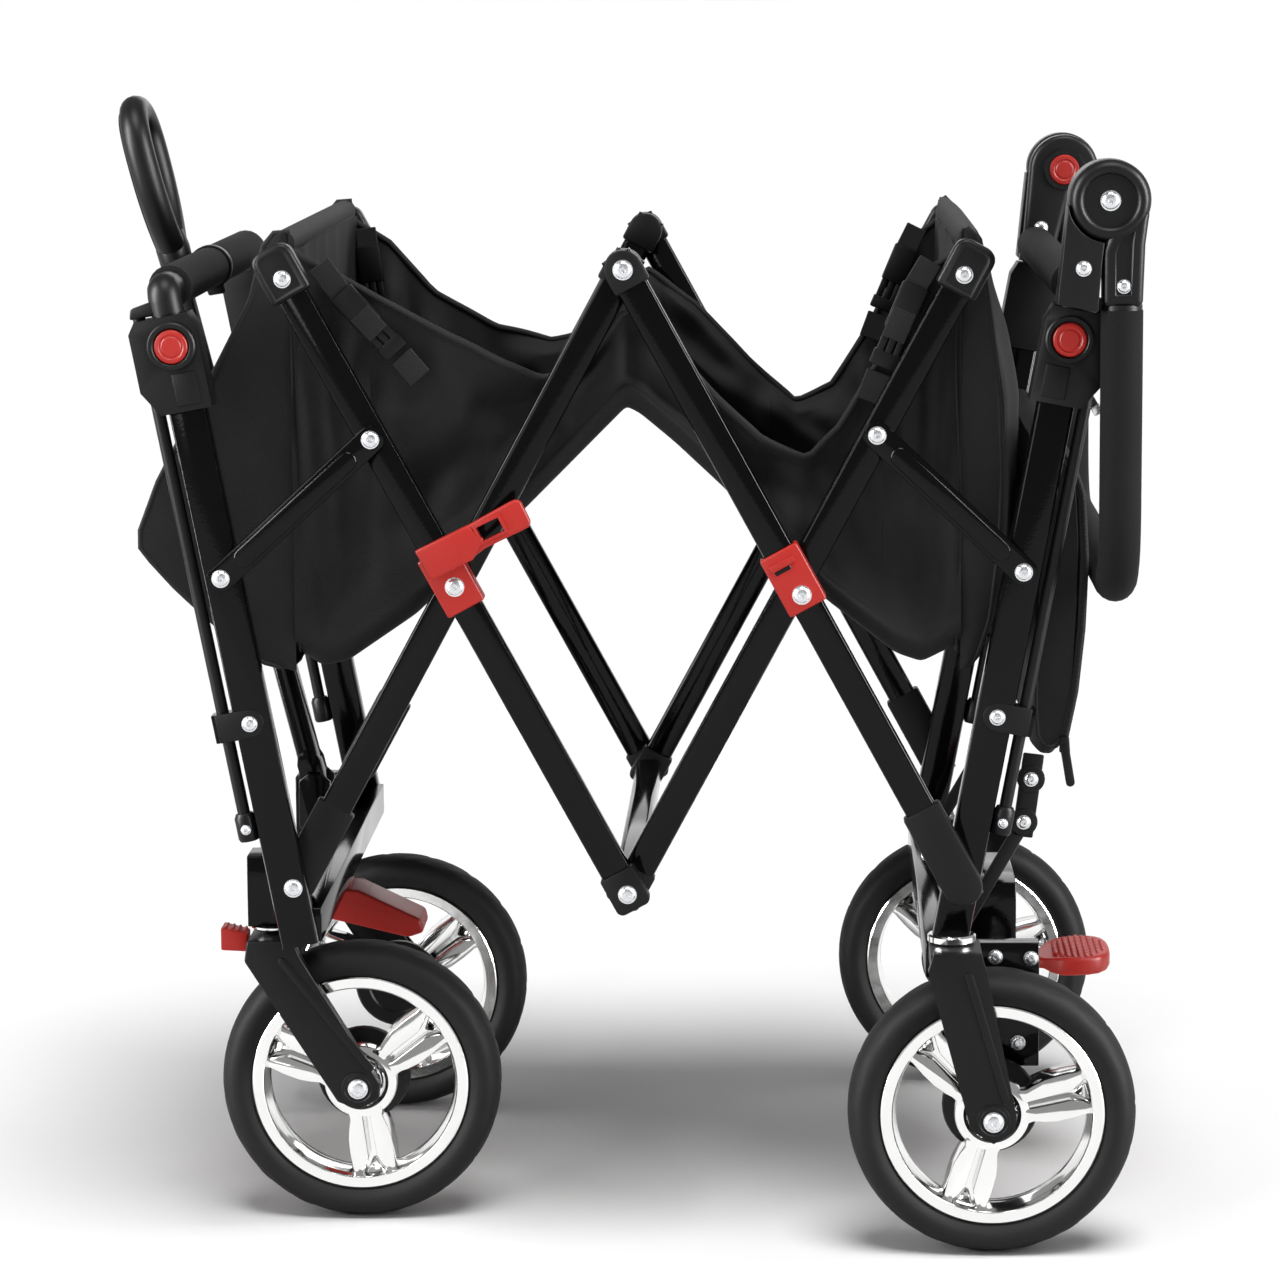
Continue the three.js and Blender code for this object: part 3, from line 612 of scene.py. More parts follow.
def paint_finish(sizes):
    """Glossy black powder coat: a faint orange peel and a few duller patches."""
    finish = Finish("gloss_black_paint", specular_ior_level=0.17)
    patches = finish.noise(9.0, 3.0)
    finish.tinted(*shades(sizes.paint_colour, 0.35), patches)
    finish.rough(patches.held(0.3, 0.75) * 0.05 + 0.07 + finish.noise(240.0) * 0.03)
    finish.raised(finish.noise(420.0, 1.0), 0.0004, 0.09)
    return finish.material


def plastic_finish(sizes):
    """Satin moulded black plastic with a fine spark-eroded grain."""
    finish = Finish("satin_black_plastic", specular_ior_level=0.2)
    patches = finish.noise(14.0, 3.0)
    finish.tinted(*shades(sizes.plastic_colour, 0.3), patches)
    finish.rough(patches * 0.16 + 0.3 + finish.noise(900.0) * 0.06)
    finish.raised(finish.noise(1500.0, 1.5) + finish.cells(2600.0) * 0.5, 0.0003, 0.12)
    return finish.material


def foam_finish(sizes):
    """Closed-cell foam sleeve: matt, with tiny open pores."""
    finish = Finish("foam_sleeve", sheen_weight=0.02, sheen_roughness=0.5, specular_ior_level=0.12)
    pores = finish.cells(1400.0)
    cloud = finish.noise(30.0, 3.0)
    finish.tinted(*shades(sizes.foam_colour, 0.4), (pores.held(0.1, 0.6) * 0.6 + cloud * 0.4))
    finish.rough(cloud * 0.12 + 0.78)
    finish.raised(pores.held(0.05, 0.5) + finish.noise(500.0) * 0.6, 0.0005, 0.3)
    return finish.material


def cloth_finish(sizes, name="basket_cloth", threads=900.0, dark_share=1.0):
    """Coated polyester: a plain weave that follows the sheet, soft creases and a little sheen."""
    finish = Finish(name, sheen_weight=0.01, sheen_roughness=0.45, specular_ior_level=0.08)
    u, v, _ = finish.parts(finish.own_map())
    warp, weft = (u * (threads * math.pi)).sine(), (v * (threads * math.pi)).sine()
    weave = warp * weft * 0.5 + 0.5
    cloud = finish.noise(7.0, 4.0, 0.6)
    fine = finish.noise(60.0, 3.0)
    colour = [c * dark_share for c in sizes.cloth_colour]
    finish.tinted(*shades(colour, 0.4), cloud * 0.55 + fine * 0.15 + weave * 0.3)
    finish.rough(cloud * 0.16 + 0.56 + weave * 0.06)
    finish.raised(weave * 0.35 + finish.noise(22.0, 3.0) * 1.6 + fine * 0.5, 0.0012, 0.35)
    return finish.material


def webbing_finish(sizes):
    """Woven strap: ribs across its width."""
    finish = Finish("strap_webbing", sheen_weight=0.03, specular_ior_level=0.2)
    x, y, z = finish.parts(finish.place)
    ribs = ((x + z) * 2600.0).sine() * 0.5 + 0.5
    picks = ((y * 2200.0).sine() * 0.5 + 0.5) * ribs
    colour = [c * 0.6 for c in sizes.cloth_colour]
    finish.tinted(*shades(colour, 0.4), picks * 0.6 + finish.noise(40.0) * 0.4)
    finish.rough(ribs * 0.1 + 0.7)
    finish.raised(ribs + picks * 0.5, 0.0003, 0.25)
    return finish.material


def red_finish(sizes):
    """Red moulded plastic: slightly mottled, softly polished on its high spots."""
    finish = Finish("red_plastic", specular_ior_level=0.28)
    cloud = finish.noise(20.0, 3.0)
    finish.tinted(*shades(sizes.red_colour, 0.1), cloud * 0.7 + finish.noise(300.0) * 0.3)
    finish.rough(cloud * 0.16 + 0.34)
    finish.raised(finish.noise(1100.0, 1.5), 0.0003, 0.1)
    return finish.material


def tyre_finish(sizes):
    """Foam-rubber tyre: dull, with faint moulding rings and a dusty bloom."""
    finish = Finish("tyre_rubber", specular_ior_level=0.18)
    dust = finish.noise(16.0, 4.0, 0.65)
    finish.tinted(*shades(sizes.tyre_colour, 0.35), dust.held(0.25, 0.8))
    finish.rough(dust * 0.2 + 0.56)
    finish.raised(finish.noise(700.0, 2.0) + finish.noise(90.0) * 0.8, 0.0005, 0.2)
    return finish.material


def chrome_finish(sizes):
    """Bright chrome plating over plastic: nearly a mirror, with slow waves from the moulding."""
    finish = Finish("bright_chrome", metallic=1.0)
    waves = finish.noise(26.0, 2.0)
    finish.tinted(*shades(sizes.chrome_colour, 0.05), waves)
    finish.rough(waves * 0.07 + 0.07)
    finish.raised(waves + finish.noise(180.0) * 0.08, 0.0016, 0.25)
    return finish.material


def zinc_finish(sizes):
    """Zinc-plated bolts: bright, with fine turning marks."""
    finish = Finish("zinc_bolts", metallic=1.0)
    marks = finish.noise(700.0, 2.0)
    finish.tinted(*shades(sizes.zinc_colour, 0.15), marks)
    finish.rough(marks * 0.2 + 0.18)
    finish.raised(marks, 0.0002, 0.15)
    return finish.material


def floor_finish(sizes):
    """The pale studio floor: almost even, with the slightest grain."""
    finish = Finish("pale_floor", specular_ior_level=0.1)
    cloud = finish.noise(1.2, 2.0)
    finish.tinted([c * 0.995 for c in sizes.floor_colour], sizes.floor_colour, cloud)
    finish.rough(cloud * 0.05 + 0.85)
    return finish.material


FINISHES = {}


def finish_named(name):
    """A finish, made the first time it is asked for."""
    makers = {
        "paint": paint_finish,
        "plastic": plastic_finish,
        "foam": foam_finish,
        "cloth": cloth_finish,
        "bag": lambda s: cloth_finish(s, "bag_cloth", 1100.0, 0.85),
        "webbing": webbing_finish,
        "red": red_finish,
        "tyre": tyre_finish,
        "chrome": chrome_finish,
        "zinc": zinc_finish,
        "floor": floor_finish,
    }
    if name not in FINISHES:
        FINISHES[name] = makers[name](bpy.context.scene.cart_sizes)
    return FINISHES[name]


def finisher(slot, finish, angle=35):
    """The finishing step for one material: which slot, which finish, and how smooth."""

    def finish_piece(piece, name, body, *nodes, angle=angle):
        return finished(piece, name, body, slot, finish_named(finish), *nodes, angle=angle)

    return finish_piece


painted = finisher("black_steel", "paint")
moulded = finisher("black_plastic", "plastic")
red_part = finisher("red_plastic", "red")
foam_covered = finisher("foam", "foam")
chromed = finisher("rim", "chrome")
zinc_plated = finisher("rim", "zinc")
rubbered = finisher("tyre", "tyre")
sewn = finisher("cloth", "cloth", CLOTH_ANGLE)
sewn_bag = finisher("cloth", "bag", CLOTH_ANGLE)
bound = finisher("cloth", "webbing", CLOTH_ANGLE)


def foamed(piece, name, body, *nodes):
    """Finishes a foam sleeve and declares it."""
    foam_covered(piece, name, body, *nodes)


def bolt_head(place, way, radius, height=0.0024):
    """A domed bolt head with a washer rim and a drive recess."""
    profile = [
        (radius * 1.18, 0.0),
        (radius * 1.18, 0.0006),
        (radius, 0.0008),
        (radius * 0.97, height * 0.45),
        (radius * 0.82, height * 0.8),
        (radius * 0.55, height),
        (radius * 0.34, height * 1.02),
        (radius * 0.26, height * 0.55),
        (0.0, height * 0.5),
    ]
    return lathe([(0.0, 0.0), *profile], place, way, 20)


def side_bolt(point, s, out, radius=BOLT_RADIUS):
    """Where a bolt head sits on one side, at a distance from the cart's middle plane."""
    return (Vector((point.x, s * out, point.z)), s, radius)


def bolts(name, body, *places):
    """The bolt heads of one body, as one piece; each is (place, sign of the y it faces, radius)."""
    heads = [bolt_head(place, (0, face, 0), radius) for place, face, radius in places]
    zinc_plated(joined(*heads), name, body)


# ---- stage --------------------------------------------------------------------------------
def build_camera():
    """The camera: a nearly level view of the latch side from a little above."""
    yaw, pitch, roll = math.radians(1.93), math.radians(8.53), math.radians(-0.40)
    forward = Vector(
        (-math.sin(yaw) * math.cos(pitch), math.cos(yaw) * math.cos(pitch), -math.sin(pitch))
    )
    level = Vector((math.cos(yaw), math.sin(yaw), 0))
    upright = level.cross(forward)
    right = math.cos(roll) * level + math.sin(roll) * upright
    up = -math.sin(roll) * level + math.cos(roll) * upright
    data = bpy.data.cameras.new("camera")
    data.lens, data.sensor_width = 123.2, 36.0
    camera = linked("camera", data)
    turned = Matrix((right, up, -forward)).transposed().to_4x4()
    turned.translation = (0.112 + MIDDLE, -3.282, 0.894)
    camera.matrix_world = turned
    bpy.context.scene.camera = camera


def soft_light(name, place, target, size, power, edges_only=False):
    """An oblong lamp that looks at a target; edges_only lights gloss alone."""
    data = bpy.data.lights.new(name, "AREA")
    data.shape, data.size, data.size_y = "RECTANGLE", *size
    data.energy = power
    light = linked(name, data)
    light.visible_diffuse = not edges_only
    way = Vector(target) - Vector(place)
    turned = way.to_track_quat("-Z", "Y").to_matrix().to_4x4()
    light.matrix_world = Matrix.Translation(place) @ turned


def build_stage(sizes):
    """The pale floor, the white surroundings and the soft lights."""
    world = bpy.context.scene.world or bpy.data.worlds.new("studio")
    bpy.context.scene.world = world
    world.use_nodes = True
    background = world.node_tree.nodes["Background"]
    background.inputs["Color"].default_value = (1, 1, 1, 1)
    background.inputs["Strength"].default_value = 0.30
    clear()
    bpy.ops.mesh.primitive_plane_add(size=400.0, location=(0, 0, -0.0005))
    floor = bpy.context.object
    floor.name = "studio_floor"
    with Editing(floor, "EDGE") as mesh:
        mesh.select_all(action="DESELECT")
    for edge in floor.data.edges:
        a, b = (floor.data.vertices[i].co for i in edge.vertices)
        edge.select = a.y > 199 and b.y > 199
    pick(floor)
    bpy.ops.object.mode_set(mode="EDIT")
    bpy.ops.mesh.select_mode(type="EDGE")
    bpy.ops.mesh.extrude_region_move(TRANSFORM_OT_translate={"value": (0, 20, 60)})
    bpy.ops.object.mode_set(mode="OBJECT")
    floor.data.materials.append(finish_named("floor"))
    data = bpy.data.lights.new("sky_light", "SUN")
    data.energy, data.angle = 2.75, math.radians(32)
    sky = linked("sky_light", data)
    sky.matrix_world = Vector((-0.10, 0.30, -1)).to_track_quat("-Z", "Y").to_matrix().to_4x4()
    soft_light("front_light", (-1.7, -3.2, 1.7), (0, 0, 0.4), (0.6, 1.6), 14)
    soft_light("right_strip", (2.7, -1.1, 1.35), (0, 0, 0.5), (1.0, 2.4), 300, edges_only=True)
    soft_light("left_strip", (-2.7, -1.1, 1.35), (0, 0, 0.5), (1.0, 2.4), 300, edges_only=True)
    soft_light("back_strip", (0.4, 3.0, 1.6), (0, 0, 0.5), (2.4, 1.0), 14, edges_only=True)
    bpy.context.scene.view_settings.view_transform = "Standard"


# ---- wheels -------------------------------------------------------------------------------
TYRE_RADIUS = 0.102
TYRE_HALF = 0.022
RIM_RADIUS = 0.079
TYRE_STEPS = 144
TREAD_WAVES = 18


def build_tyre():
    """One tyre about the origin, its axis along y, with shallow scalloped tread grooves."""
    r, h = TYRE_RADIUS, TYRE_HALF
    half = [
        (RIM_RADIUS, -h + 0.006),
        (RIM_RADIUS + 0.0015, -h + 0.0035),
        (RIM_RADIUS + 0.006, -h + 0.0012),
        (r - 0.0145, -h + 0.0002),
        (r - 0.0095, -h + 0.0006),
        (r - 0.0062, -h + 0.0026),
        (r - 0.0046, -h + 0.0042),
        (r - 0.0026, -h + 0.0068),
        (r - 0.0012, -h + 0.0102),
        (r - 0.0003, -h + 0.0150),
        (r, -h + 0.0190),
    ]
    profile = half + [(radius, -y) for radius, y in reversed(half)]
    tyre = lathe(profile, Vector((0, 0, 0)), (0, 1, 0), TYRE_STEPS, ring=True)
    for vertex in tyre.data.vertices:
        x, y, z = vertex.co
        radius = math.hypot(x, z)
        if radius < r - 0.0075:
            continue
        angle = math.atan2(z, x)
        wave = math.sin(TREAD_WAVES * angle + (0.9 if y > 0 else 0.0))
        edge = abs(y) - (h - 0.0085 + 0.0035 * wave)
        groove = math.exp(-((edge / 0.0016) ** 2)) * 0.0011
        block = math.exp(-((math.sin(TREAD_WAVES // 2 * angle + 120 * y) / 0.17) ** 2)) * 0.0010
        sink = groove + block * eased((radius - (r - 0.006)) / 0.004)
        vertex.co.x -= sink * math.cos(angle)
        vertex.co.z -= sink * math.sin(angle)
    return tyre


def turned_outline(shape, turn, side=1):
    """(along, aside) points of a spoke, turned into the wheel's plane."""
    sin, cos = math.sin(turn), math.cos(turn)
    points = [(a * cos - b * side * sin, a * sin + b * side * cos) for a, b in shape]
    return points if side > 0 else points[::-1]


SPOKE_BLADE = [
    (0.0150, 0.0006), (0.0235, 0.0010), (0.0262, 0.0026), (0.0570, 0.0030), (0.0630, 0.0056),
    (0.0722, 0.0104), (0.0722, 0.0172), (0.0650, 0.0158), (0.0540, 0.0163), (0.0420, 0.0158),
    (0.0330, 0.0138), (0.0270, 0.0118), (0.0200, 0.0135),
]
SPOKE_FLOOR = [(0.0200, -0.0040), (0.0700, -0.0080), (0.0700, 0.0080), (0.0200, 0.0040)]
SPOKE_WEDGE = [(0.0600, -0.0012), (0.0716, -0.0080), (0.0716, 0.0080), (0.0600, 0.0012)]


def build_rim(first_turn):
    """A chrome rim: flanged ring, barrel, hub ring and three split spokes."""
    h = TYRE_HALF
    ring = lathe(
        [
            (0.0686, -0.0080), (0.0690, -h + 0.0095), (0.0696, -h + 0.0070),
            (0.0702, -h + 0.0050), (0.0704, -h + 0.0040), (0.0712, -h + 0.0030),
            (0.0780, -h + 0.0024), (0.0789, -h + 0.0030), (0.0790, -h + 0.0048),
            (0.0790, h - 0.0048), (0.0789, h - 0.0030), (0.0780, h - 0.0024),
            (0.0712, h - 0.0030), (0.0704, h - 0.0040), (0.0702, h - 0.0050),
            (0.0696, h - 0.0070), (0.0690, h - 0.0095), (0.0686, 0.0080), (0.0676, 0.0040),
            (0.0676, -0.0040),
        ],
        Vector((0, 0, 0)), (0, 1, 0), 96, ring=True,
    )
    parts = [ring]
    for k in range(3):
        turn = first_turn + k * math.tau / 3
        for side in (-1, 1):
            blade = slab(turned_outline(SPOKE_BLADE, turn, side), -0.0135, 0.0135, 0.0)
            for vertex in blade.data.vertices:
                share = min(1.0, math.hypot(vertex.co.x, vertex.co.z) / 0.074)
                rise = 0.0020 * (1 - share) + 0.0016 * math.sin(share * math.pi)
                vertex.co.y += math.copysign(rise, vertex.co.y)
            parts.append(rounded(blade, 0.0016, 2, 20))
        parts.append(slab(turned_outline(SPOKE_FLOOR, turn), -0.0030, 0.0030, 0.0008, 1))
        wedge = slab(turned_outline(SPOKE_WEDGE, turn), -0.0148, 0.0148, 0.0)
        for vertex in wedge.data.vertices:
            if math.hypot(vertex.co.x, vertex.co.z) < 0.0640:
                vertex.co.y *= 0.42
        parts.append(rounded(wedge, 0.0005, 1))
    hub = lathe(
        [
            (0.0, -0.0165), (0.0145, -0.0165), (0.0150, -0.0158), (0.0150, -0.0140),
            (0.0168, -0.0140), (0.0182, -0.0160), (0.0205, -0.0168), (0.0240, -0.0162),
            (0.0262, -0.0150), (0.0268, -0.0130), (0.0268, 0.0100), (0.0240, 0.0130),
            (0.0215, 0.0150), (0.0172, 0.0155), (0.0150, 0.0155), (0.0145, 0.0165), (0.0, 0.0165),
        ],
        Vector((0, 0, 0)), (0, 1, 0), 48,
    )
    return joined(*parts, hub)


def build_wheels(sizes):
    """Four wheels: tyre, chrome rim and hub drum, modelled once and copied."""
    tyre = build_tyre()
    rims = {"front": build_rim(math.radians(38)), "rear": build_rim(math.radians(13.5))}
    drum = lathe(
        [(0.0, 0.0080), (0.0300, 0.0080), (0.0335, 0.0096), (0.0345, 0.0120), (0.0345, 0.0168),
         (0.0330, 0.0186), (0.0240, 0.0190), (0.0225, 0.0178), (0.0, 0.0178)],
        Vector((0, 0, 0)), (0, 1, 0), 40,
    )
    for word, (side, s) in product(END_WORD.values(), SIDES):
        body = f"wheel_{word}_{side}"
        move = Matrix.Translation(pivot(f"{word}_spin_{side}"))
        rubbered(copied(tyre, move), f"tyre_tread_{word}_{side}", body, f"tyre_{word}_{side}",
                 angle=50)
        if s > 0:
            move = move @ MIRROR
        chromed(copied(rims[word], move), f"rim_chrome_{word}_{side}", body,
                f"rim_{word}_{side}", angle=28)
        moulded(copied(drum, move), f"hub_drum_{word}_{side}", body)
    for piece in (tyre, drum, *rims.values()):
        bpy.data.objects.remove(piece)


def build_forks(sizes):
    """The forks: rounded, with a rib and an axle boss outside, and their swivels' bright rings."""
    starts = {"front": from_middle(-0.262 + 0.0095, 0.196), "rear": from_middle(0.2395, 0.206)}
    leg_out = {"front": 0.014, "rear": 0.015}
    for word, (side, s) in product(END_WORD.values(), SIDES):
        body = "rear_frame" if word == "rear" else f"caster_{side}"
        softened(f"fork_{word}_{side}", moulded, 0.0026, 3)
        centre = pivot(f"{word}_spin_{side}")
        reach = abs(centre.y) + TYRE_HALF + leg_out[word]
        end = Vector((centre.x + 0.0085, 0, centre.z + 0.016))
        rib = side_slab(capped_strip(starts[word], end, 0.0032, 8, True),
                        s, reach - 0.002, reach + 0.0016, 0.0012)
        moulded(rib, f"fork_rib_{word}_{side}", body)
        boss = disc(centre, 0.0125, reach - 0.002, reach + 0.0012, 0.001, 28, 0.0006, s)
        moulded(boss, f"fork_boss_{word}_{side}", body)
        bolts(f"axle_bolt_{word}_{side}", body, side_bolt(centre, s, reach + 0.0008, 0.0062))
    for side, s in SIDES:
        place = pivot(f"swivel_{side}")
        race = lathe(
            [(0.0072, 0.2135), (0.0150, 0.2135), (0.0165, 0.2148), (0.0165, 0.2163),
             (0.0150, 0.2176), (0.0072, 0.2176)],
            Vector((place.x, place.y, 0)), (0, 0, 1), 32, ring=True,
        )
        chromed(race, f"swivel_race_{side}", "front_frame")
        post = beside_post(1, -0.036)
        collar = lathe(
            [(0.0, 0.2200), (0.0162, 0.2200), (0.0172, 0.2212), (0.0172, 0.2250),
             (0.0160, 0.2262), (0.0, 0.2262)],
            Vector((post.x, s * POST_Y[1], 0)), (0, 0, 1), 32,
        )
        chromed(collar, f"fork_collar_{side}", "rear_frame")


# ---- frame --------------------------------------------------------------------------------
def build_bars(sizes):
    """The steel bars, posts and cross tubes, with their long edges rounded."""
    words = ("bar_front_inner", "bar_front_outer", "bar_rear_inner", "bar_rear_outer")
    for word, (side, _) in product(words, SIDES):
        softened(f"{word}_{side}", painted, sizes.bar_edge, 3)
    for node in ("centre_cross_tube", "front_cross_tube", "rear_cross_tube"):
        softened(node, painted, sizes.bar_edge, 2)
    for word, (side, _) in product(("post_front", "post_rear"), SIDES):
        softened(f"{word}_{side}", painted, sizes.bar_edge, 3)


def build_caps(sizes):
    """Plastic ends of the bars: hoods at the basket's corners, caps in the middle, foot sleeves."""
    inner, outer = INNER_BAR_Y, OUTER_BAR_Y
    for side, s in SIDES:
        for end, body, mid in ((-1, "front_outer", outer), (1, "rear_inner", inner)):
            way, top = bar_way(end), TOP_END[end]
            hood = side_slab(capped_hood(top - way * 0.020, top + way * 0.0175, 0.0152, 0.009),
                             s, mid - 0.0072, mid + 0.0088, 0.0030, 3)
            rim = side_slab(capped_hood(top - way * 0.0185, top + way * 0.0150, 0.0124, 0.007),
                            s, mid + 0.0080, mid + 0.0100, 0.0009)
            with Editing(rim, wanted=outward(rim, s)) as mesh:
                mesh.inset(thickness=0.0024, depth=-0.0014)
            moulded(joined(hood, rim), f"corner_hood_{END_WORD[end]}_{side}", body)
            bolts(f"corner_bolt_{END_WORD[end]}_{side}", body,
                  side_bolt(top - way * 0.006, s, mid + 0.0085))
        for slope, body, low, high in ((1, "front_inner", inner - 0.0085, inner + 0.0062),
                                       (-1, "rear_outer", outer - 0.0062, outer + 0.0085)):
            outline = capped_strip(TOP_MIDDLE - bar_way(slope) * 0.014, TOP_MIDDLE, 0.0135, 14)
            moulded(side_slab(outline, s, low, high, 0.002), f"middle_cap_{body}_{side}", body)
        bolts(f"middle_bolt_{side}", "rear_outer", side_bolt(TOP_MIDDLE, s, outer + 0.0082, 0.0060))
        for slope, body, low, high in ((-1, "front_outer", outer - 0.0062, outer + 0.0084),
                                       (1, "rear_inner", inner - 0.0085, inner + 0.0062)):
            way = bar_way(slope)
            outline = capped_hood(LOW_MIDDLE + way * 0.017, LOW_MIDDLE - way * 0.0125, 0.0130,
                                  0.005)
            moulded(side_slab(outline, s, low, high, 0.0016), f"low_cap_{body}_{side}", body)
        bolts(f"low_bolt_{side}", "front_outer", side_bolt(LOW_MIDDLE, s, outer + 0.0080, 0.0056))
        for end, body, low, high in ((-1, "front_inner", inner - 0.0066, inner + 0.0066),
                                     (1, "rear_outer", outer - 0.0066, outer + 0.0080)):
            foot = FOOT[end]
            outline = capped_strip(foot + bar_way(-end) * 0.062, foot, 0.0142, 12)
            moulded(side_slab(outline, s, low, high, 0.002), f"foot_sleeve_{END_WORD[end]}_{side}",
                    body)


def build_stays(sizes):
    """The pressed stay links between the posts and the bars, with a bolt at each end."""
    for end, (side, s) in product(END_WORD, SIDES):
        word, mid = END_WORD[end], STAY_Y[end]
        post, bar = beside_post(end, 0.226), CROSSING[end] + bar_way(end) * 0.118
        way = (bar - post).normalized()
        eye = side_slab(capped_strip(post, bar, 0.0096, 12, True), s, mid - 0.003, mid + 0.003,
                        0.0012)
        rib = side_slab(capped_strip(post + way * 0.022, bar - way * 0.022, 0.0068, 8, True),
                        s, mid + 0.0022, mid + 0.0052, 0.0022, 3)
        painted(joined(eye, rib), f"stay_link_{word}_{side}", f"{word}_stays",
                f"stay_{word}_{side}")
        bolts(f"stay_bolts_{word}_{side}", f"{word}_stays",
              side_bolt(post, s, mid + 0.003, 0.0054), side_bolt(bar, s, mid + 0.003, 0.0054))


def build_latch(sizes):
    """The red sleeves on the near crossings, the latch's arm, and the far crossings' bare bolts."""
    softened("latch_sleeve", red_part, 0.0016, 3)
    softened("catch_sleeve", red_part, 0.0016, 3)
    hinge = CROSSING[-1]

    def by_latch(*shape):
        """An outline whose points are given in millimetres from the latch's crossing."""
        return [(hinge.x + a * 0.001, hinge.z + b * 0.001) for a, b in shape]

    cover = slab(by_latch((-26.5, 25.9), (10.5, 44.0), (22.0, 34.0), (14.5, 20.2), (-14.5, 6.0)),
                 -0.2722, -0.2630, 0.0014, 3)
    arm = slab(by_latch((6.0, 41.4), (39.5, 60.0), (43.5, 61.8), (47.5, 61.0), (54.6, 46.4),
                        (53.4, 42.6), (23.0, 28.0), (13.0, 20.6), (4.0, 24.0)),
               -0.2706, -0.2640, 0.0018, 3)
    rim = slab(by_latch((13.4, 43.6), (32.6, 53.0), (39.2, 39.6), (20.0, 30.2)), -0.2724, -0.2690,
               0.0006)
    window = slab(by_latch((16.4, 42.4), (31.6, 49.8), (36.4, 40.4), (21.2, 33.0)), -0.29, -0.25)
    boolean_cut(arm, window, keep=True)
    boolean_cut(rim, window)
    red_part(joined(cover, arm, rim), "latch_arm", "latch_lever", "latch_lever")
    bodies = {-1: "front_outer", 1: "rear_outer"}
    for end, body in bodies.items():
        place = CROSSING[end] + bar_way(-1) * (0.001 if end < 0 else -0.006)
        bolts(f"sleeve_bolt_{END_WORD[end]}", body,
              side_bolt(place + Vector((0.001, 0, -0.001)), -1, 0.2628, 0.0058))
        spacer = disc(CROSSING[end], 0.0105, 0.2572, 0.2592, 0.0006, 28, 0.0, 1)
        moulded(spacer, f"crossing_washer_{END_WORD[end]}", body)
        bolts(f"crossing_bolt_{END_WORD[end]}", body, side_bolt(CROSSING[end], 1, 0.2590, 0.0056))
    # the catch's hooked lip and the slot below it
    way = bar_way(-1)
    side = Vector((way.z, 0, -way.x))
    at = CROSSING[1] + way * 0.018
    lip = slab(strip(at - side * 0.011, at + side * 0.008, 0.0022), -0.2645, -0.2615, 0.0006)
    red_part(lip, "catch_lip", "rear_outer")
    at -= way * 0.0042
    slot = slab(strip(at - side * 0.009, at + side * 0.003, 0.0014), -0.2631, -0.2610, 0.0003, 1)
    moulded(slot, "catch_slot", "rear_outer")


def boolean_cut(piece, tool, keep=False):
    """Cuts one piece with another, which is then removed unless it is kept."""
    modified(piece, "BOOLEAN", object=tool, operation="DIFFERENCE", solver="EXACT")
    if not keep:
        bpy.data.objects.remove(tool)


def build_pedals(sizes):
    """The front pedal with its grip ribs, the brake's pad, and the levers that lock the casters."""
    softened("front_pedal", red_part, 0.0028, 3)
    build_brake_pad()
    for side, s in SIDES:
        centre, wide = s * 0.160, 0.0112
        top = [(MIDDLE - 0.2998, centre - wide), (MIDDLE - 0.2806, centre - wide * 0.9),
               (MIDDLE - 0.2806, centre + wide * 0.9), (MIDDLE - 0.2998, centre + wide)]
        lever = layer(top, 0.1978, 0.2150, 0.0)
        for vertex in lever.data.vertices:
            if vertex.co.x < MIDDLE - 0.29:
                vertex.co.z += 0.0012 if vertex.co.z < 0.206 else 0.0008
            else:
                vertex.co.z += 0.0 if vertex.co.z < 0.206 else -0.0040
        with Editing(lever, wanted=lambda face: face.normal.x < -0.8) as mesh:
            mesh.inset(thickness=0.0030)
            mesh.extrude_region_move(TRANSFORM_OT_translate={"value": (0.0095, 0, 0)})
        rounded(lever, 0.0012, 2)
        ribs = []
        for i in range(4):
            x0, x1 = MIDDLE - 0.2975 + i * 0.0045, MIDDLE - 0.2955 + i * 0.0045
            y0, y1 = centre - 0.0075, centre + 0.0075
            ribs.append(layer([(x0, y0), (x1, y0), (x1, y1), (x0, y1)],
                              0.2095, 0.2162 - i * 0.0009, 0.0005, 1))
        lock = f"caster_lock_{side}"
        red_part(joined(lever, *ribs), f"lock_lever_{side}", lock, lock)
    ribs = []
    for i in range(5):
        x = MIDDLE - 0.236 + i * 0.0072
        z = 0.2155 - max(0, i - 2) * 0.0032
        ribs.append(slab([(x - 0.0011, z - 0.004), (x + 0.0011, z - 0.0045),
                          (x + 0.0011, z + 0.0004), (x - 0.0011, z + 0.0009)],
                         -0.0165, 0.0165, 0.0005, 1))
    red_part(joined(*ribs), "front_pedal_ribs", "front_pedal")


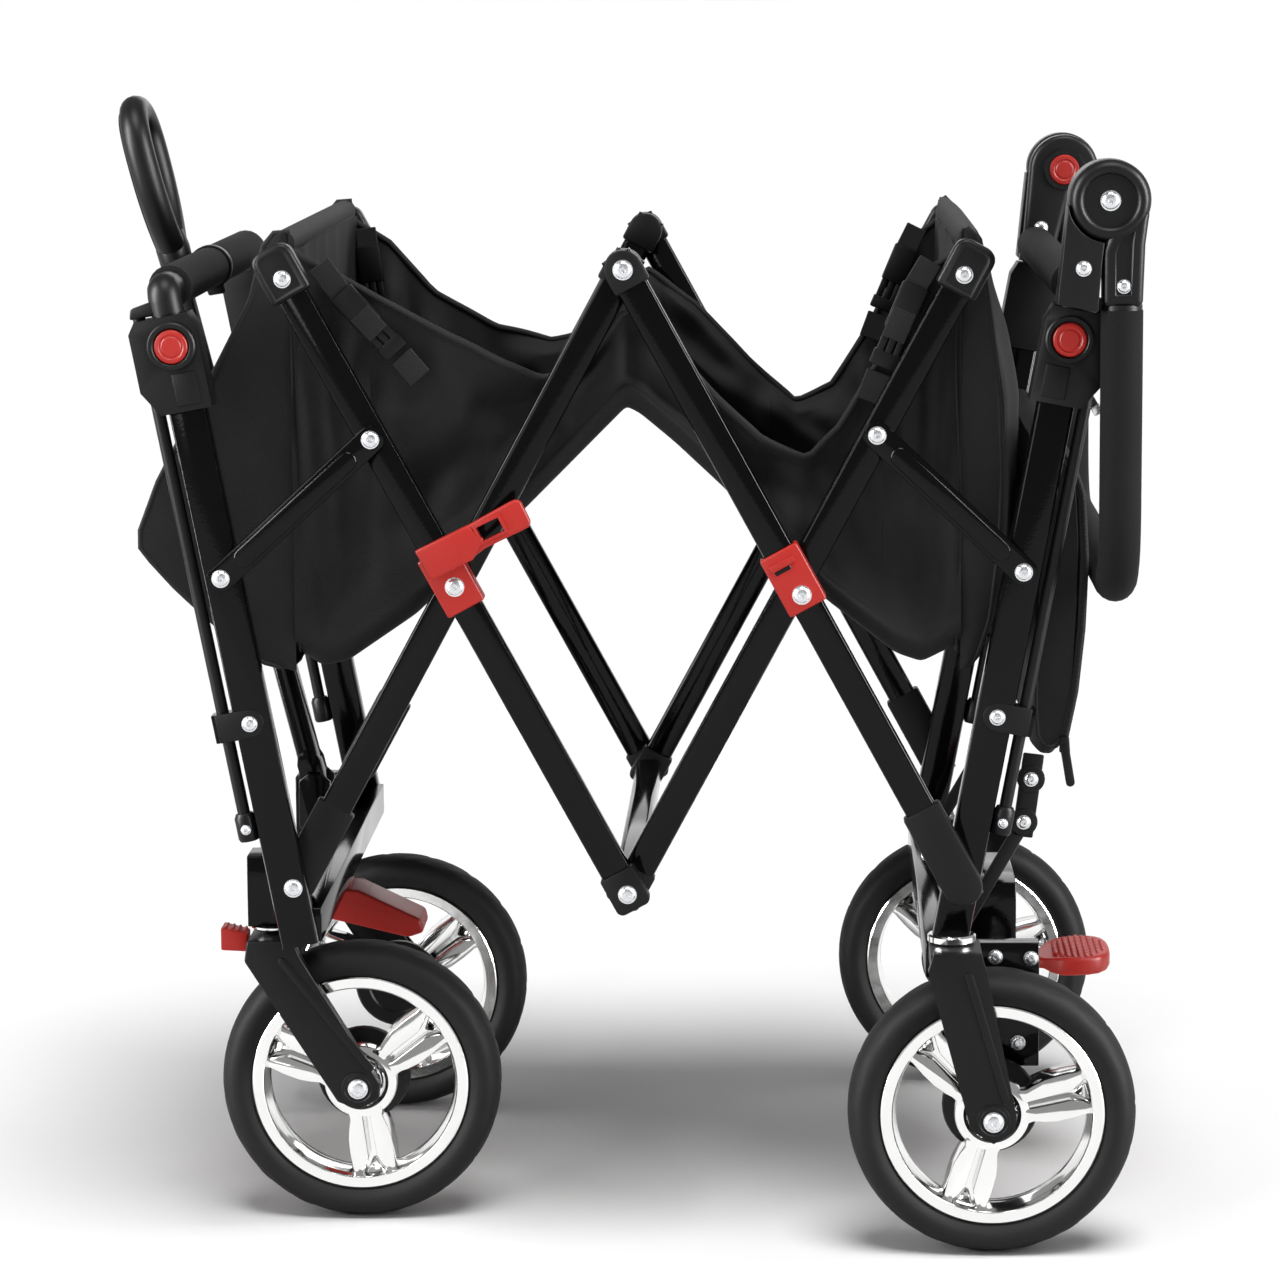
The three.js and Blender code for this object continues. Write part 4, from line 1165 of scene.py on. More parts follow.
def build_brake_pad():
    """Brake pad: a neck that widens into a rounded pad with studs on top."""
    right = [(0.2846, 0.0145), (0.2960, 0.0150), (0.3060, 0.0200), (0.3120, 0.0300),
             (0.3190, 0.0372), (0.3290, 0.0404), (0.3400, 0.0404), (0.3490, 0.0368),
             (0.3548, 0.0280), (0.3575, 0.0150), (0.3580, 0.0)]
    outline = [(MIDDLE + x, -y) for x, y in right] + [(MIDDLE + x, y) for x, y in right[-2::-1]]
    pad = layer(outline, 0.1492, 0.1632, 0.0)
    for vertex in pad.data.vertices:
        slope = (vertex.co.x - MIDDLE - 0.3150) * 0.055
        vertex.co.z += slope
        if vertex.co.x < MIDDLE + 0.3065:
            vertex.co.z = 0.1550 + (vertex.co.z - 0.1550) * 0.72
    rounded(pad, 0.0034, 4, 25)
    studs = []
    stud = lathe([(0.0, -0.001), (0.0021, -0.001), (0.0016, 0.0008), (0.0, 0.0010)], Vector(),
                 (0, 0, 1), 8)
    for i in range(9):
        for k in range(17):
            x = 0.3165 + i * 0.0045
            y = (k - 8) * 0.0052 + (0.0026 if i % 2 else 0.0)
            if math.hypot((x - 0.3340) / 0.0205, y / 0.0365) < 1.0:
                z = 0.1632 + (x - 0.3150) * 0.055
                studs.append(copied(stud, Matrix.Translation((MIDDLE + x, y, z))))
    bpy.data.objects.remove(stud)
    red_part(joined(pad, *studs), "brake_pad", "brake_pedal", "brake_pedal")


def build_sockets(sizes):
    """The height sockets on the posts: sleeve, button in its ring, step, clip and bolts."""
    for end, (side, s) in product(END_WORD, SIDES):
        label, body, mid = f"{END_WORD[end]}_{side}", END_BODY[end], POST_Y[end]
        softened(f"socket_{label}", moulded, 0.0030, 3)
        place, face = beside_post(end, 0.391), mid + 0.0155
        centre, axis = Vector((place.x, 0, place.z)), (0, s, 0)
        ring = lathe(
            [(0.0124, face - 0.002), (0.0168, face - 0.002), (0.0168, face + 0.0030),
             (0.0158, face + 0.0040), (0.0134, face + 0.0040), (0.0124, face + 0.0030)],
            centre, axis, 40, ring=True)
        moulded(ring, f"button_ring_{label}", body)
        button = lathe(
            [(0.0, face - 0.001), (0.0118, face - 0.001), (0.0118, face + 0.0030),
             (0.0108, face + 0.0040), (0.0090, face + 0.0043), (0.0082, face + 0.0037),
             (0.0072, face + 0.0037), (0.0064, face + 0.0043), (0.0, face + 0.0045)],
            centre, axis, 40)
        red_part(button, f"button_face_{label}", f"height_button_{label}", f"height_button_{label}")
        a, b = beside_post(end, 0.349, -0.004), beside_post(end, 0.372, -0.004)
        step = side_slab(strip(a, b, 0.0085), s, face - 0.001, face + 0.0014, 0.0012)
        moulded(step, f"socket_step_{label}", body)
        clip, clip_face = beside_post(end, 0.121, 0.002), mid + 0.0084
        clip_plate = side_slab(capped_strip(beside_post(end, 0.121, 0.0255), clip, 0.0102, 10),
                               s, clip_face - 0.0018, clip_face + 0.0016, 0.0012)
        moulded(clip_plate, f"clip_plate_{label}", body)
        bolts(f"clip_bolt_{label}", body, side_bolt(clip, s, clip_face + 0.0014, 0.0048),
              side_bolt(FOOT[end], s, mid + 0.0084, 0.0056))
        bolts(f"rod_screw_{label}", "front_bail" if end < 0 else "push_frame",
              side_bolt(beside_post(end, 0.047, ROD_OUT), s, mid + 0.0072, 0.0030))


def rod_parts(end, s):
    """The sliding rods of one side: guide rod with its end cap, lug and the inner leg."""
    y = s * POST_Y[end]

    def at(t, out=0.0):
        p = beside_post(end, t, out)
        return Vector((p.x, y, p.z))

    guide = tube([at(0.044, ROD_OUT), at(0.418, ROD_OUT)], 0.0045)
    cap = tube([at(t, ROD_OUT) for t in (0.038, 0.040, 0.055, 0.058)], 0.0075,
               radii=[0.86, 1, 1, 0.8])
    corners = ((0.4135, -0.006), (0.4135, 0.0265), (0.421, 0.0245), (0.426, -0.006))
    lug = slab([(p.x, p.z) for p in (at(t, out) for t, out in corners)],
               y - 0.007, y + 0.007, 0.0016)
    leg = tube([at(0.364), at(0.418)], 0.011)
    return guide, cap, lug, leg


def build_bail(sizes):
    """Front bail: moulded elbow tube, two foam sleeves and a ring clip between them."""
    parts = []
    for _, s in SIDES:
        parts += rod_parts(-1, s)
    low, top = beside_post(-1, 0.413), beside_post(-1, 0.4295)
    half = POST_Y[-1]
    rail = tube([(low.x, -half, low.z), (top.x, -half, top.z), (top.x, half, top.z),
                 (low.x, half, low.z)],
                0.0118, bend=0.020, resolution=6)
    moulded(joined(rail, *parts), "bail_rail", "front_bail", "front_bail")
    for side, s in SIDES:
        sleeve = tube([(top.x, s * 0.222, top.z), (top.x, s * 0.0065, top.z)], 0.0152,
                      round_ends=0.003, resolution=8)
        foamed(sleeve, f"bail_sleeve_{side}", "front_bail")
    ring = lathe([(0.0118, -0.0060), (0.0156, -0.0060), (0.0164, -0.0048), (0.0164, 0.0048),
                  (0.0156, 0.0060), (0.0118, 0.0060)], Vector((top.x, 0, top.z)), (0, 1, 0), 36,
                  ring=True)
    tab = slab([(top.x - 0.004, top.z - 0.013), (top.x + 0.010, top.z - 0.012),
                (top.x + 0.011, top.z - 0.0195), (top.x - 0.001, top.z - 0.0215)],
               -0.0055, 0.0055, 0.0012, 2)
    moulded(joined(ring, tab), "bail_ring_clip", "front_bail")


def knuckle_outline(centre, radius, feet, count=20):
    """A knuckle's outline: a round head over the given feet, which are listed clockwise from -X."""
    points = []
    for i in range(count + 1):
        a = math.pi - math.pi * i / count
        points.append((centre.x + radius * math.cos(a), centre.z + radius * math.sin(a)))
    return points + [(p.x, p.z) for p in feet]


def build_push_frame(sizes):
    """Fixed knuckle halves on their legs, with the foam bar between them."""
    hinge = pivot("push_handle_turn")
    for side, s in SIDES:
        rods = rod_parts(1, s)
        feet = [
            hinge + Vector((0.006, 0, -0.010)),
            beside_post(1, 0.424, 0.0125),
            beside_post(1, 0.413, 0.0118),
            beside_post(1, 0.413, -0.0145),
            beside_post(1, 0.437, -0.0145),
        ]
        inner_half = side_slab(knuckle_outline(hinge, 0.0272, feet), s, 0.2272, 0.2487, 0.0045, 4,
                               22)
        post_y = Vector((0, s * POST_Y[1], 0))
        collar = tube([beside_post(1, 0.4135) + post_y, beside_post(1, 0.4215) + post_y], 0.0150,
                      radii=[0.97, 1.0])
        arc = [(hinge.x + 0.0290 * math.cos(a), hinge.z + 0.0290 * math.sin(a))
               for a in (math.radians(186 + i * 9.5) for i in range(9))]
        foot_points = [Vector((hinge.x - 0.0055, 0, hinge.z - 0.040)),
                       beside_post(1, 0.4145, 0.0135),
                       beside_post(1, 0.4145, -0.0148),
                       Vector((hinge.x - 0.0305, 0, hinge.z - 0.018))]
        outer_half = side_slab(arc + [(p.x, p.z) for p in foot_points],
                               s, 0.2480, 0.2772, 0.0048, 4, 24)
        moulded(joined(inner_half, outer_half, collar, *rods), f"knuckle_fixed_{side}",
                "push_frame",
                *(("push_frame",) if side == "near" else ()))
        face = 0.2272
        ring = lathe([(0.0124, -face - 0.0004), (0.0162, -face - 0.0004), (0.0166, -face + 0.0008),
                      (0.0160, -face + 0.0026), (0.0124, -face + 0.0026)],
                     Vector((hinge.x, 0, hinge.z)), (0, -s, 0), 36, ring=True)
        moulded(ring, f"knuckle_ring_{side}", "push_frame")
        button = lathe(
            [(0.0, -face - 0.002), (0.0118, -face - 0.002), (0.0118, -face + 0.0026),
             (0.0110, -face + 0.0036), (0.0088, -face + 0.0039), (0.0080, -face + 0.0033),
             (0.0070, -face + 0.0033), (0.0062, -face + 0.0039), (0.0, -face + 0.0041)],
            Vector((hinge.x, 0, hinge.z)), (0, -s, 0), 36)
        red_part(button, f"knuckle_button_face_{side}", f"knuckle_button_{side}",
                 f"knuckle_button_{side}")
        spot = beside_post(1, 0.442, -0.002)
        bolts(f"knuckle_leg_bolt_{side}", "push_frame",
              side_bolt(spot, s, 0.2770, 0.0046),
              (Vector((spot.x, s * 0.2272, spot.z)), -s, 0.0046))
    bar = beside_post(1, 0.428, -0.004)
    foamed(tube([(bar.x, -0.226, bar.z), (bar.x, 0.226, bar.z)], 0.0146, round_ends=0.003,
                resolution=8),
           "rear_bar_sleeve", "push_frame")


def build_push_handle(sizes):
    """Turning knuckle halves and the foam-covered handle that hangs behind the cart."""
    hinge = pivot("push_handle_turn")
    leg_x = MIDDLE + 0.343
    leg_shape = ((hinge.x, 0.0006, -0.020), (hinge.x, 0.0270, -0.006), (leg_x, 0.0150, -0.030),
                 (leg_x, 0.0136, -0.073), (leg_x, -0.0136, -0.073), (leg_x, -0.0140, -0.034))
    for side, s in SIDES:
        head = lathe(
            [(0.0, 0.2495), (0.0262, 0.2495), (0.0276, 0.2508), (0.0282, 0.2530), (0.0282, 0.2690),
             (0.0278, 0.2726), (0.0266, 0.2757), (0.0246, 0.2778), (0.0222, 0.2786),
             (0.0200, 0.2780),
             (0.0186, 0.2764), (0.0180, 0.2744), (0.0, 0.2744)],
            Vector((hinge.x, 0, hinge.z)), (0, s, 0), 48)
        leg = side_slab([(x + dx, hinge.z + dz) for x, dx, dz in leg_shape],
                        s, 0.2500, 0.2776, 0.0046, 4, 22)
        with Editing(leg, wanted=outward(leg, s)) as mesh:
            mesh.inset(thickness=0.0040)
            mesh.extrude_region_move(TRANSFORM_OT_translate={"value": (0, -s * 0.0018, 0)})
        rounded(leg, 0.0004, 1, 50)
        sleeve_end = tube([(leg_x, s * 0.2645, hinge.z - 0.0715),
                           (leg_x, s * 0.2645, hinge.z - 0.0765)], 0.0142)
        moulded(joined(head, leg, sleeve_end), f"knuckle_turning_{side}", "push_handle",
                f"push_knuckle_{side}")
        bolts(f"knuckle_bolts_{side}", "push_handle", side_bolt(hinge, s, 0.2742, 0.0060),
              side_bolt(Vector((leg_x + 0.0005, 0, hinge.z - 0.0585)), s, 0.2757, 0.0042))
    high_z, low_z, half = hinge.z - 0.0752, 0.4755, 0.266
    handle = tube([(leg_x, -half, high_z), (leg_x, -half, low_z), (leg_x, half, low_z),
                   (leg_x, half, high_z)], 0.0146, bend=0.055, resolution=8)
    foamed(handle, "push_handle_sleeve", "push_handle", "push_handle")


def pull_point(t, y=0.0, out=0.0):
    """A point at t along the pull pole from its hinge, out from its front face."""
    sin, cos = math.sin(PULL_LEAN), math.cos(PULL_LEAN)
    base = pivot("pull_pole_turn")
    return Vector((base.x - t * sin - out * cos, y, base.z + t * cos - out * sin))


def build_pull_handle(sizes):
    """The pull pole with its ribs and collar, and the sliding grip with its loop."""
    softened("pull_pole", painted, 0.0012, 2)
    ribs = [slab(strip(pull_point(0.030), pull_point(0.246), 0.0012), low, low + 0.0010, 0.0003, 1)
            for low in (-0.01285, 0.01185)]
    painted(joined(*ribs), "pull_pole_ribs", "pull_pole")
    collar = slab(strip(pull_point(0.236), pull_point(0.254), 0.0098), -0.0138, 0.0138, 0.0018, 2)
    boolean_cut(collar, slab(strip(pull_point(0.22), pull_point(0.27), 0.0082), -0.0122, 0.0122))
    moulded(collar, "pull_pole_collar", "pull_pole")
    shaft = slab(strip(pull_point(0.150), pull_point(0.414), 0.0055), -0.0095, 0.0095, 0.0015, 2)
    loop = [(0.418, 0.0), (0.430, 0.0120), (0.446, 0.0235), (0.466, 0.0310), (0.486, 0.0335),
            (0.505, 0.0330), (0.519, 0.0260), (0.5275, 0.0120), (0.5285, 0.0)]
    right = [pull_point(t, y) for t, y in loop]
    ring_path = right + [pull_point(t, -y) for t, y in reversed(loop[1:-1])]
    ring = closed_tube(ring_path, 0.0108)
    neck = tube([pull_point(0.403), pull_point(0.410), pull_point(0.422), pull_point(0.434)],
                0.0125,
                radii=[0.86, 1.0, 1.04, 0.9], resolution=6)
    for vertex in neck.data.vertices:
        vertex.co.y *= 1.25
    moulded(joined(shaft, ring, neck), "pull_grip_loop", "pull_grip", "pull_grip")
    seam = closed_tube(ring_path, 0.0011, 0.0107, resolution=2)
    moulded(seam, "pull_grip_seam", "pull_grip")


def closed_tube(points, radius, offset=0.0, resolution=6):
    """A round bar along a smooth closed path in the pull handle's plane, moved out by offset."""
    curve = bpy.data.curves.new("ring", "CURVE")
    curve.dimensions = "3D"
    curve.bevel_depth, curve.bevel_resolution = radius, resolution
    curve.resolution_u = 6
    spline = curve.splines.new("NURBS")
    spline.points.add(len(points) - 1)
    sin, cos = math.sin(PULL_LEAN), math.cos(PULL_LEAN)
    for point, place in zip(spline.points, points):
        point.co = (*(place + Vector((-cos, 0, -sin)) * offset), 1)
    spline.use_cyclic_u = True
    spline.order_u = 3
    return meshed(curve)


# ---- basket -------------------------------------------------------------------------------
BASKET_HALF = 0.2262
FLOOR_CORNER = 0.016
# shares of the trough's width where its corners to the floor begin and end
FLOOR_FROM, FLOOR_TO = 0.36, 0.64
FLOOR = [(-0.236, 0.430), (-0.218, 0.416), (-0.200, 0.419), (-0.150, 0.453), (-0.070, 0.530),
         (-0.020, 0.580), (0.0, 0.600), (0.010, 0.595), (0.035, 0.574), (0.070, 0.541),
         (0.140, 0.463), (0.190, 0.424), (0.208, 0.418), (0.236, 0.432)]
NEAR_HEM = [(-0.236, 0.712), (-0.215, 0.700), (-0.150, 0.664), (-0.060, 0.6190), (-0.035, 0.625),
            (0.0, 0.668), (0.020, 0.655), (0.060, 0.610), (0.095, 0.577), (0.128, 0.562),
            (0.150, 0.585), (0.185, 0.645), (0.215, 0.696), (0.236, 0.712)]
FAR_HEM = [(-0.236, 0.708), (-0.205, 0.690), (-0.170, 0.650), (-0.120, 0.622), (-0.075, 0.611),
           (-0.030, 0.622), (0.0, 0.668), (0.040, 0.640), (0.080, 0.596), (0.120, 0.561),
           (0.150, 0.575), (0.180, 0.622), (0.214, 0.690), (0.236, 0.708)]


def trough_point(u, v, x0, x1):
    """A point of the trough: u runs along the cart, v down one side, over the floor and up."""
    x = x0 + (x1 - x0) * u
    floor, near, far = between(FLOOR, x), between(NEAR_HEM, x), between(FAR_HEM, x)
    corner, half = FLOOR_CORNER, BASKET_HALF
    if v < FLOOR_FROM:
        t = v / FLOOR_FROM
        return from_middle(x, near + (floor + corner - near) * t, -half)
    if v < 0.40:
        a = (v - FLOOR_FROM) / 0.04 * math.pi / 2
        return from_middle(x, floor + corner * (1 - math.sin(a)),
                           -half + corner * (1 - math.cos(a)))
    if v < 0.60:
        t = (v - 0.40) / 0.20
        return from_middle(x, floor, (-half + corner) + 2 * (half - corner) * t)
    if v < FLOOR_TO:
        a = (v - 0.60) / 0.04 * math.pi / 2
        return from_middle(x, floor + corner * (1 - math.cos(a)),
                           half - corner + corner * math.sin(a))
    t = (v - FLOOR_TO) / FLOOR_FROM
    return from_middle(x, floor + corner + (far - floor - corner) * t, half)


# the basket's folds: start, end, width, depth; (x, z) with x from the cart's middle
SIDE_FOLDS = [
    ((-0.060, 0.622), (-0.172, 0.505), 0.016, 0.010),
    ((-0.020, 0.650), (-0.120, 0.520), 0.012, 0.008),
    ((-0.205, 0.690), (-0.205, 0.440), 0.009, 0.010),
    ((-0.176, 0.640), (-0.190, 0.440), 0.012, 0.009),
    ((-0.226, 0.640), (-0.214, 0.420), 0.007, 0.007),
    ((-0.150, 0.560), (-0.120, 0.480), 0.014, 0.007),
    ((-0.110, 0.600), (-0.030, 0.590), 0.013, 0.008),
    ((0.004, 0.660), (0.001, 0.600), 0.006, 0.010),
    ((-0.020, 0.640), (-0.100, 0.560), 0.010, 0.006),
    ((0.020, 0.650), (0.090, 0.575), 0.009, 0.010),
    ((0.010, 0.618), (0.110, 0.530), 0.011, 0.009),
    ((0.060, 0.585), (0.150, 0.520), 0.010, 0.010),
    ((0.095, 0.565), (0.165, 0.545), 0.012, 0.008),
    ((0.140, 0.570), (0.190, 0.440), 0.016, 0.010),
    ((0.172, 0.600), (0.205, 0.440), 0.011, 0.010),
    ((0.205, 0.680), (0.205, 0.450), 0.008, 0.010),
    ((0.226, 0.650), (0.214, 0.430), 0.007, 0.008),
    ((0.120, 0.500), (0.170, 0.450), 0.010, 0.007),
]


def side_fold(point, far):
    """How far the cloth of one side is drawn in at a point."""
    x, z = point.x - MIDDLE, point.z
    depth = 0.0
    for start, end, width, amount in SIDE_FOLDS:
        depth += crease(x, z, start, end, width, amount)
    wander = noise.noise(Vector((x * 16, 3.0 if far else -3.0, z * 11)))
    fine = noise.noise(Vector((x * 45, 7.0 if far else -7.0, z * 30)))
    depth += 0.007 * abs(wander) + 0.0022 * (fine + 0.5)
    return min(0.020, max(0.0, depth))


def trough_folds(point, u, v):
    """The wrinkles of the trough, fading out at its hems, corners and floor edges."""
    far = point.y > 0
    if v < FLOOR_FROM or v > FLOOR_TO:
        hem = min(1.0, (v if v < 0.5 else 1 - v) / 0.05)
        low = min(1.0, abs((FLOOR_FROM if v < 0.5 else FLOOR_TO) - v) / 0.06)
        inward = side_fold(point, far) * (0.35 + 0.65 * hem) * (0.3 + 0.7 * low)
        sag = 0.0020 * noise.noise(Vector((point.x * 30, 1.0 if far else 5.0, 0.0)))
        drop = sag * (1 - hem)
        return Vector((0, -inward if far else inward, drop))
    if 0.40 < v < 0.60:
        t = (v - 0.40) / 0.20
        belly = math.sin(math.pi * t)
        ripple = noise.noise(Vector((point.x * 20, point.y * 9, 2.0)))
        return Vector((0, 0, 0.0075 * belly * (0.6 + ripple)))
    return Vector((0, 0, 0))


def build_trough(sizes):
    """The basket's sides and floor: one sheet in strips that meet where the frame's bars turn."""
    cuts = (-0.2352, -0.180, -0.100, 0.100, 0.180, 0.2352)
    bodies = ("front_panel", "front_outer", "front_inner", "rear_outer", "rear_inner", "rear_panel")
    words = ("front_corner", "front_side", "middle", "rear_side", "rear_corner")
    for word, x0, x1, first, last in zip(words, cuts, cuts[1:], bodies, bodies[1:]):
        count = max(10, round((x1 - x0) / 0.0045))
        piece, cut, area = woven_sheet(
            lambda u, v: trough_point(u, v, x0, x1), count, 150, trough_folds, 0.0013)
        nodes = ("basket_trough",) if word == "middle" else ()
        bend = (first, last, (MIDDLE + x0, 0, 0.55), (MIDDLE + x1, 0, 0.55))
        sewn(piece, f"basket_{word}", bend, *nodes)
        hang(piece, cut, area)
        # bound edge along each hem
        for side, v in (("near", 0.0), ("far", 1.0)):
            points = []
            steps = max(8, round((x1 - x0) / 0.006))
            for i in range(steps + 1):
                p = trough_point(i / steps, v, x0, x1)
                points.append(p + trough_folds(p, i / steps, v))
            hem = tube(points, 0.0026, resolution=3)
            for vertex in hem.data.vertices:
                vertex.co.z += 0.0006
            bound(hem, f"hem_{word}_{side}", bend)


# the end panels' outlines, (x, z) with x from the cart's middle, from the lining over the top edge
FRONT_SHELL = [(-0.2372, 0.700), (-0.2300, 0.716), (-0.2330, 0.7235), (-0.2440, 0.7240),
               (-0.2530, 0.714), (-0.263, 0.676), (-0.2800, 0.645), (-0.3050, 0.600),
               (-0.3340, 0.548), (-0.3485, 0.512), (-0.3480, 0.500), (-0.3220, 0.472),
               (-0.2930, 0.446), (-0.262, 0.420), (-0.2372, 0.414)]
REAR_SHELL = [(0.2372, 0.414), (0.250, 0.420), (0.266, 0.448), (0.277, 0.500), (0.280, 0.545),
              (0.277, 0.600), (0.268, 0.652), (0.258, 0.694), (0.2500, 0.716), (0.2430, 0.7240),
              (0.2330, 0.7235), (0.2300, 0.716), (0.2372, 0.700)]


def along_line(points, t):
    """The point at share t of a polyline's length."""
    lengths = [math.dist(a, b) for a, b in zip(points, points[1:])]
    left = t * sum(lengths)
    for (a, b), length in zip(zip(points, points[1:]), lengths):
        if left <= length:
            k = left / length
            return (a[0] + (b[0] - a[0]) * k, a[1] + (b[1] - a[1]) * k)
        left -= length
    return points[-1]


def shell_point(u, v, outline, end, half):
    """End panel cloth: v runs across the cart, u over the top and down the outside."""
    x, z = along_line(outline, u)
    y = (v * 2 - 1) * half
    share = abs(y) / half
    stand = x - end * 0.2372
    keep = 1 - (0.04 if end < 0 else 0.4) * share**6
    if end < 0 and 0.44 < z < 0.70:
        # the pole lies in a fold of the cloth
        tuck = math.exp(-((y / 0.046) ** 4))
        keep *= 1 - 0.93 * tuck * eased((0.712 - z) / 0.03)
    return Vector((MIDDLE + end * 0.2372 + stand * keep, y, z))


def panel_folds(point, end, seed):
    """The wrinkles of an end panel's outer cloth, fainter near its top and bottom."""
    _, y, z = point
    wave = 0.5 * math.sin(y * 62 + seed) + 0.5 * math.sin(y * 27 + seed * 2)
    low = eased((0.70 - z) / 0.10) * eased((z - 0.425) / 0.05)
    out = 0.0055 * wave * low
    out += 0.006 * noise.noise(Vector((y * 12 + seed, z * 9, seed))) * low
    under = eased((0.705 - z) / 0.03)
    out += 0.0025 * noise.noise(Vector((y * 30 + seed, z * 24, seed))) * under
    if end > 0:
        out = min(out, 0.004)
    return Vector((end * out, 0, 0.002 * noise.noise(Vector((y * 15, seed, z * 6))) * under))


def build_end_panels(sizes):
    """The basket's ends: outer cloth, lining, cheeks between them, piping and the padded roll."""
    half = 0.2205
    for end, outline, word in ((-1, FRONT_SHELL, "front"), (1, REAR_SHELL[::-1], "rear")):
        body = f"{word}_panel"
        piece, cut, area = woven_sheet(
            lambda u, v: shell_point(u, v, outline, end, half), 56, 76,
            lambda p, u, v: panel_folds(p, end, 1.7 if end < 0 else 4.1), 0.0014)
        sewn(piece, f"end_cloth_{word}", body, f"basket_{word}_panel")
        hang(piece, cut, area)

        def lining_folds(p, u, v):
            ripple = noise.noise(Vector((p.y * 14, end * 3.0, p.z * 10)))
            return Vector((-end * (0.0030 + 0.0045 * ripple), 0, 0))

        inner, cut, area = woven_sheet(
            lambda u, v: from_middle(end * 0.2345, 0.4265 + u * 0.285, (v * 2 - 1) * 0.2245),
            40, 60, lining_folds, 0.0013)
        sewn(inner, f"end_lining_{word}", body)
        hang(inner, cut, area)
        for side, s in SIDES:

            def cheek_point(u, v):
                q = shell_point(u, 0.5 + 0.5 * s, outline, end, half)
                base_x = MIDDLE + end * 0.2350
                crown = 0.0012 + 0.0016 * math.sin(math.pi * v)
                return Vector((base_x + (q.x - base_x) * v, s * (half + crown), q.z))

            def cheek_folds(p, u, v):
                ripple = noise.noise(Vector((p.x * 40, s * 2.0, p.z * 22)))
                return Vector((0, s * 0.0012 * ripple, 0))

            cheek, cut, area = woven_sheet(cheek_point, 60, 10, cheek_folds, 0.0012)
            sewn(cheek, f"end_cheek_{word}_{side}", body)
            hang(cheek, cut, area)
            path = []
            for i in range(33):
                q = shell_point(0.06 + 0.92 * i / 32, 0.5 + 0.5 * s, outline, end, half)
                path.append(Vector((q.x + end * 0.0006, s * (half + 0.0008), q.z)))
            piping = tube(path, PIPING, resolution=2)
            bound(piping, f"end_piping_{word}_{side}", body)
        roll = tube([from_middle(end * 0.2405, 0.7125, -0.2200),
                     from_middle(end * 0.2405, 0.7115, 0.2200)],
                    0.0094, round_ends=0.004, resolution=6)
        set_cylinder_map(roll)
        sewn(roll, f"end_roll_{word}", body)


def set_cylinder_map(piece):
    """A map in metres along and around a piece that lies along y, for its weave."""
    if not piece.data.uv_layers:
        piece.data.uv_layers.new(name="cloth")
    layer = piece.data.uv_layers[0]
    layer.name = "cloth"
    centre = sum((v.co for v in piece.data.vertices), Vector()) / len(piece.data.vertices)
    for face in piece.data.polygons:
        middle = face.center - centre
        for loop in face.loop_indices:
            co = piece.data.vertices[piece.data.loops[loop].vertex_index].co - centre
            angle = math.atan2(co.z, co.x)
            base = math.atan2(middle.z, middle.x)
            if angle - base > math.pi:
                angle -= math.tau
            elif base - angle > math.pi:
                angle += math.tau
            layer.data[loop].uv = (co.y, angle * 0.012)


